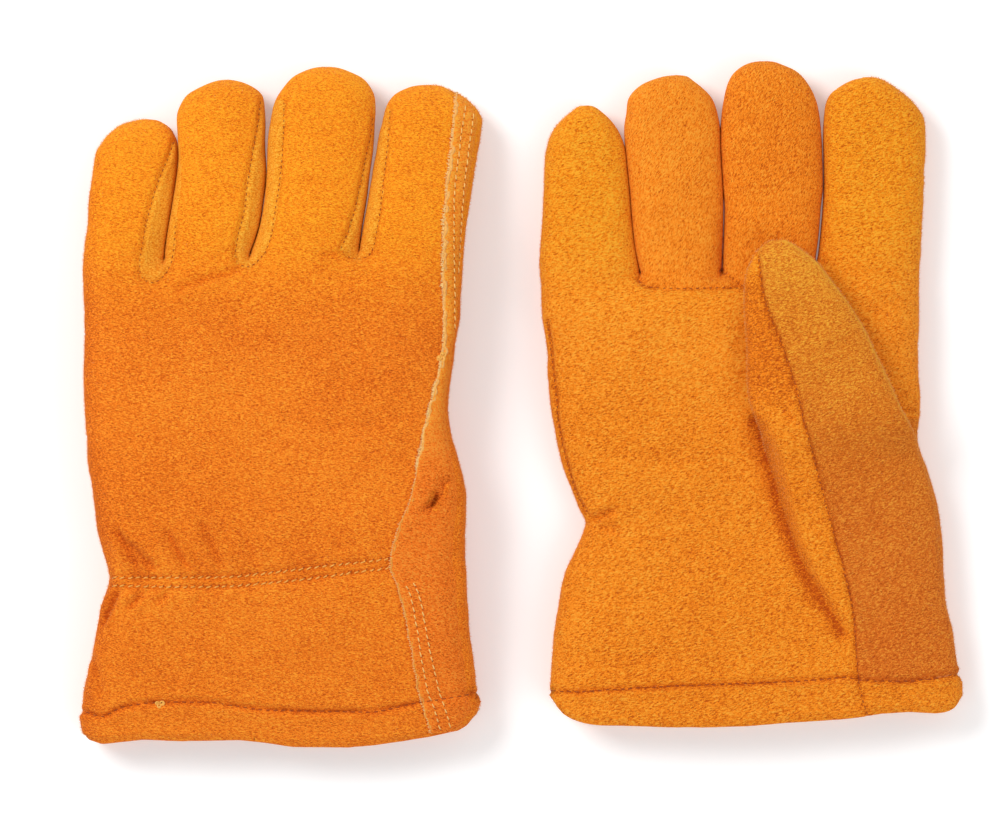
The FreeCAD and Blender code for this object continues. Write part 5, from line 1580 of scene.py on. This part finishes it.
# ------------------------------------------------------------------- build
made = {}
for side in ("left", "right"):
    g = build_sheets(side)
    prepare_frames(g)
    finish_shape(g)
    drape(g)
    displace(g)
    mats = {"back": MAT[side + "_back"], "palm": MAT[side + "_palm"], "fork": MAT[side + "_fork"], "wing": MAT[side + "_wing"],
            "two": MAT["right_two"] if side == "right" else MAT["left_palm"], "inner": MAT["inner"], "cut": MAT["cut"]}
    pieces = emit_pieces(g, mats)
    th = build_thumb(g)
    tp = emit_thumb(g, th, mats)
    body = (g.V, g.F, g.fzone)
    thumb = (th.V, th.F, th.fzone)
    bag = Bag()
    hem_bag = Bag()
    if side == "left":
        hand_surf = Surface([body], 1)
        lap = lap_strip(g, hand_surf)
        X, Y, ZT, zone = g.lap_line
        n, c = X.shape
        LV = np.column_stack([X.ravel(), Y.ravel(), ZT.ravel()])
        idx = np.arange(X.size).reshape(X.shape)
        LF = np.stack([idx[:-1, :-1], idx[1:, :-1], idx[1:, 1:], idx[:-1, 1:]], -1).reshape(-1, 4)
        LZ = zone[:-1, :-1].ravel()
        full = Surface([body, (LV, LF, LZ)], 1)
        for line in g.tab["fork_seams"]:
            stitch_row(bag, hand_surf, line, "brown", 2.2, 0.42, 0.17, 0.06, s=1)
        for line in g.tab["wrist_rows"]:
            stitch_row(bag, hand_surf, line, "gold", 2.9, 0.60, 0.25, 0.30, 0.42, s=1)
        for line in g.tab["lap_rows"]:
            stitch_row(bag, full, line, "pale", 2.9, 0.64, 0.23, 0.12, 0.16, s=1)
        stitch_row(hem_bag, full, g.tab["hem_row"], "brown", 2.9, 0.55, 0.24, 0.08, s=1)
        stitch_row(hem_bag, hand_surf, g.tab["hem_row"], "brown", 2.9, 0.55, 0.24, 0.08, s=-1)
        bead(bag, g)
        fringe(bag, g)
        loop_tuft(bag, full, g.tab["knot"][0] - 0.5, g.tab["knot"][1], "gold", 1.9, 7, 3, 1)
        loop_tuft(hem_bag, full, g.tab["tuft"][0], g.tab["tuft"][1], "gold", 1.5, 6, 4, 1)
        tsurf = Surface([thumb], -1)
        seam = [(a - 173.28, b - 4.0) for a, b in TAB["long_seam"]]
        stitch_row(bag, tsurf, seam, "brown", 2.4, 0.45, 0.18, 0.06, s=-1)
    else:
        hand_surf = Surface([body], 1)
        full = Surface([body, thumb], 1)
        lap = {}
        for key in ("two_seam", "small_seam", "left_seam"):
            stitch_row(bag, hand_surf, g.tab[key], "brown", 2.4, 0.45, 0.18, 0.06, s=1)
        stitch_row(hem_bag, full, g.tab["hem_row"], "brown", 2.9, 0.55, 0.24, 0.08, s=1)
        stitch_row(hem_bag, hand_surf, g.tab["hem_row"], "brown", 2.9, 0.55, 0.24, 0.08, s=-1)
        a, b = g.wrist[1] + 1.7, g.wrist[1] - 1.7
        for yy in (a, b):
            xl, xr = float(interp(g.tab["L"], yy)), float(interp(g.tab["R"], yy))
            stitch_row(bag, hand_surf, [(xl + 8, yy), ((xl + xr) / 2, yy - 1.5), (xr - 8, yy)], "gold", 2.9, 0.60, 0.25, 0.30, 0.42, s=-1)
        stitch_row(bag, full, TAB["long_seam"], "brown", 2.4, 0.45, 0.18, 0.06, s=1)
    fz = Bag()
    keep = (g.FD[:, 0] < 5) & (g.near[g.F].mean(1) > 0.9)
    fuzz(fz, g.V, g.N, g.F[keep], g.fzone[keep], 1.5, 31, top=0.03)
    fuzz(fz, th.V, th.N, th.F, th.fzone, 1.8, 37, top=0.05)
    emit_bag(fz, g, "nap", "suede_back")
    threads = emit_bag(bag, g, "stitches")
    hemth = emit_bag(hem_bag, g, "hem_stitches")
    hy = float(np.mean([p[1] for p in g.tab["hem"]]))
    lining = tube_sheet(g, hy + 17.0, 30.0, LEATHER + 1.7, "lining", MAT["fleece"], "fleece_lining", None, deep=2.3)
    wy = g.wrist[1]
    elastic = tube_sheet(g, wy - 3.6, wy + 3.6, LEATHER + 1.3, "wrist_elastic", MAT["elastic"], "elastic", None, True, 0.6, 0.0)

    def stand(nodes, *choices):
        for ch in choices:
            if ch is not None:
                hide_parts(*[side + "_" + n for n in nodes])
                return
        raise SystemExit("nothing stands for %s %s" % (side, nodes))

    P = pieces.get
    stand(["back_panel"], P(("back", "hand")))
    stand(["palm_panel"], P(("palm", "hand")))
    stand(["thumb_wing"], P(("wing", "hand")))
    stand(["cuff_sleeve"], P(("palm", "cuff")))
    stand(["cuff_hem"], P(("hem", "cuff")))
    stand(["hand_lining"], lining.get("hand"))
    stand(["wrist_elastic"], elastic.get("cuff"))
    stand(["finger_forks"], P(("fork", "hand")), P(("fork", "ring_base")))
    stand(["seam_threads"], threads.get(("brown", "hand")))
    stand(["hem_thread"], hemth.get(("brown", "cuff")))
    stand(["thumb_base_outer"], tp.get(("thumb_outer", "thumb_base")))
    stand(["thumb_base_inner"], tp.get(("thumb_inner", "thumb_base")))
    stand(["thumb_tip_outer"], tp.get(("thumb_outer", "thumb_tip")))
    stand(["thumb_tip_inner"], tp.get(("thumb_inner", "thumb_tip")))
    for f in NAMES:
        for part in ("base", "tip"):
            stand(["%s_%s_back" % (f, part)], P(("back", "%s_%s" % (f, part))))
            stand(["%s_%s_front" % (f, part)], P(("palm", "%s_%s" % (f, part))), P(("two_finger", "%s_%s" % (f, part))))
    made[side] = (g, th)

# ------------------------------------------------------------ stage, lights
floor_mesh = bpy.data.meshes.new("floor")
floor_mesh.from_pydata([(-3, -3, 0), (3, -3, 0), (3, 3, 0), (-3, 3, 0)], [], [(0, 1, 2, 3)])
floor = bpy.data.objects.new("floor", floor_mesh)
bpy.context.scene.collection.objects.link(floor)
k = Nodes("floor_white")
k.b.inputs["Base Color"].default_value = (0.92, 0.92, 0.92, 1)
k.b.inputs["Roughness"].default_value = 1.0
k.b.inputs["Specular IOR Level"].default_value = 0.0
k.b.inputs["Emission Color"].default_value = (1, 1, 1, 1)
k.b.inputs["Emission Strength"].default_value = 0.18
floor_mesh.materials.append(k.m)

# the floor sinks under a digit that curls below the table
probes = [bpy.data.objects.new("probe_table", None)]
bpy.context.scene.collection.objects.link(probes[0])
probes[0].hide_render = True
for side in ("left", "right"):
    g = made[side][0]
    for f in NAMES + ("thumb",):
        K, M, d = g.frames[f]
        tipy = {"little": 108, "ring": 123, "middle": 128, "index": 121, "thumb": 62}[f]
        reach = (tipy - K[1])
        p = bpy.data.objects.new("probe_%s_%s" % (side, f), None)
        bpy.context.scene.collection.objects.link(p)
        z = 0.0004
        p.location = ((K[0] + d[0] * reach) * MM, (K[1] + d[1] * reach) * MM, z)
        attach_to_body(p, "%s_%s_tip" % (side, f))
        p.hide_render = True
        probes.append(p)
    p = bpy.data.objects.new("probe_%s_cuff" % side, None)
    bpy.context.scene.collection.objects.link(p)
    p.location = (g.wrist[0] * MM, -0.12, 0.0004)
    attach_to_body(p, side + "_cuff")
    p.hide_render = True
    probes.append(p)
drv = floor.driver_add("location", 2).driver
drv.type = "MIN"
for p in probes:
    v = drv.variables.new()
    v.type = "TRANSFORMS"
    v.targets[0].id = p
    v.targets[0].transform_type = "LOC_Z"
    v.targets[0].transform_space = "WORLD_SPACE"

scene = bpy.context.scene
world = bpy.data.worlds.new("studio")
world.use_nodes = True
bg = world.node_tree.nodes.get("Background")
bg.inputs[0].default_value = (1, 1, 1, 1)
bg.inputs[1].default_value = 0.63
scene.world = world
scene.view_settings.view_transform = "Standard"


def area(name, loc, target, size, energy):
    d = bpy.data.lights.new(name, "AREA")
    d.shape = "SQUARE"
    d.size = size
    d.energy = energy
    o = bpy.data.objects.new(name, d)
    bpy.context.scene.collection.objects.link(o)
    o.location = loc
    o.rotation_euler = (Vector(target) - Vector(loc)).to_track_quat("-Z", "Y").to_euler()
    return o


area("key_softbox", (-1.2, 0.9, 1.6), (0, 0, 0), 0.9, 26.0)
area("fill_softbox", (1.3, -0.8, 1.7), (0, 0, 0), 1.2, 10.0)

cam = bpy.data.cameras.new("camera")
cam.lens = 282.3
cam.sensor_width = 36.0
cam_ob = bpy.data.objects.new("camera", cam)
scene.collection.objects.link(cam_ob)
cam_ob.location = (-0.00855, -0.00342, 3.0)
cam_ob.rotation_euler = (0, 0, 0)
cam.clip_end = 20.0
scene.camera = cam_ob
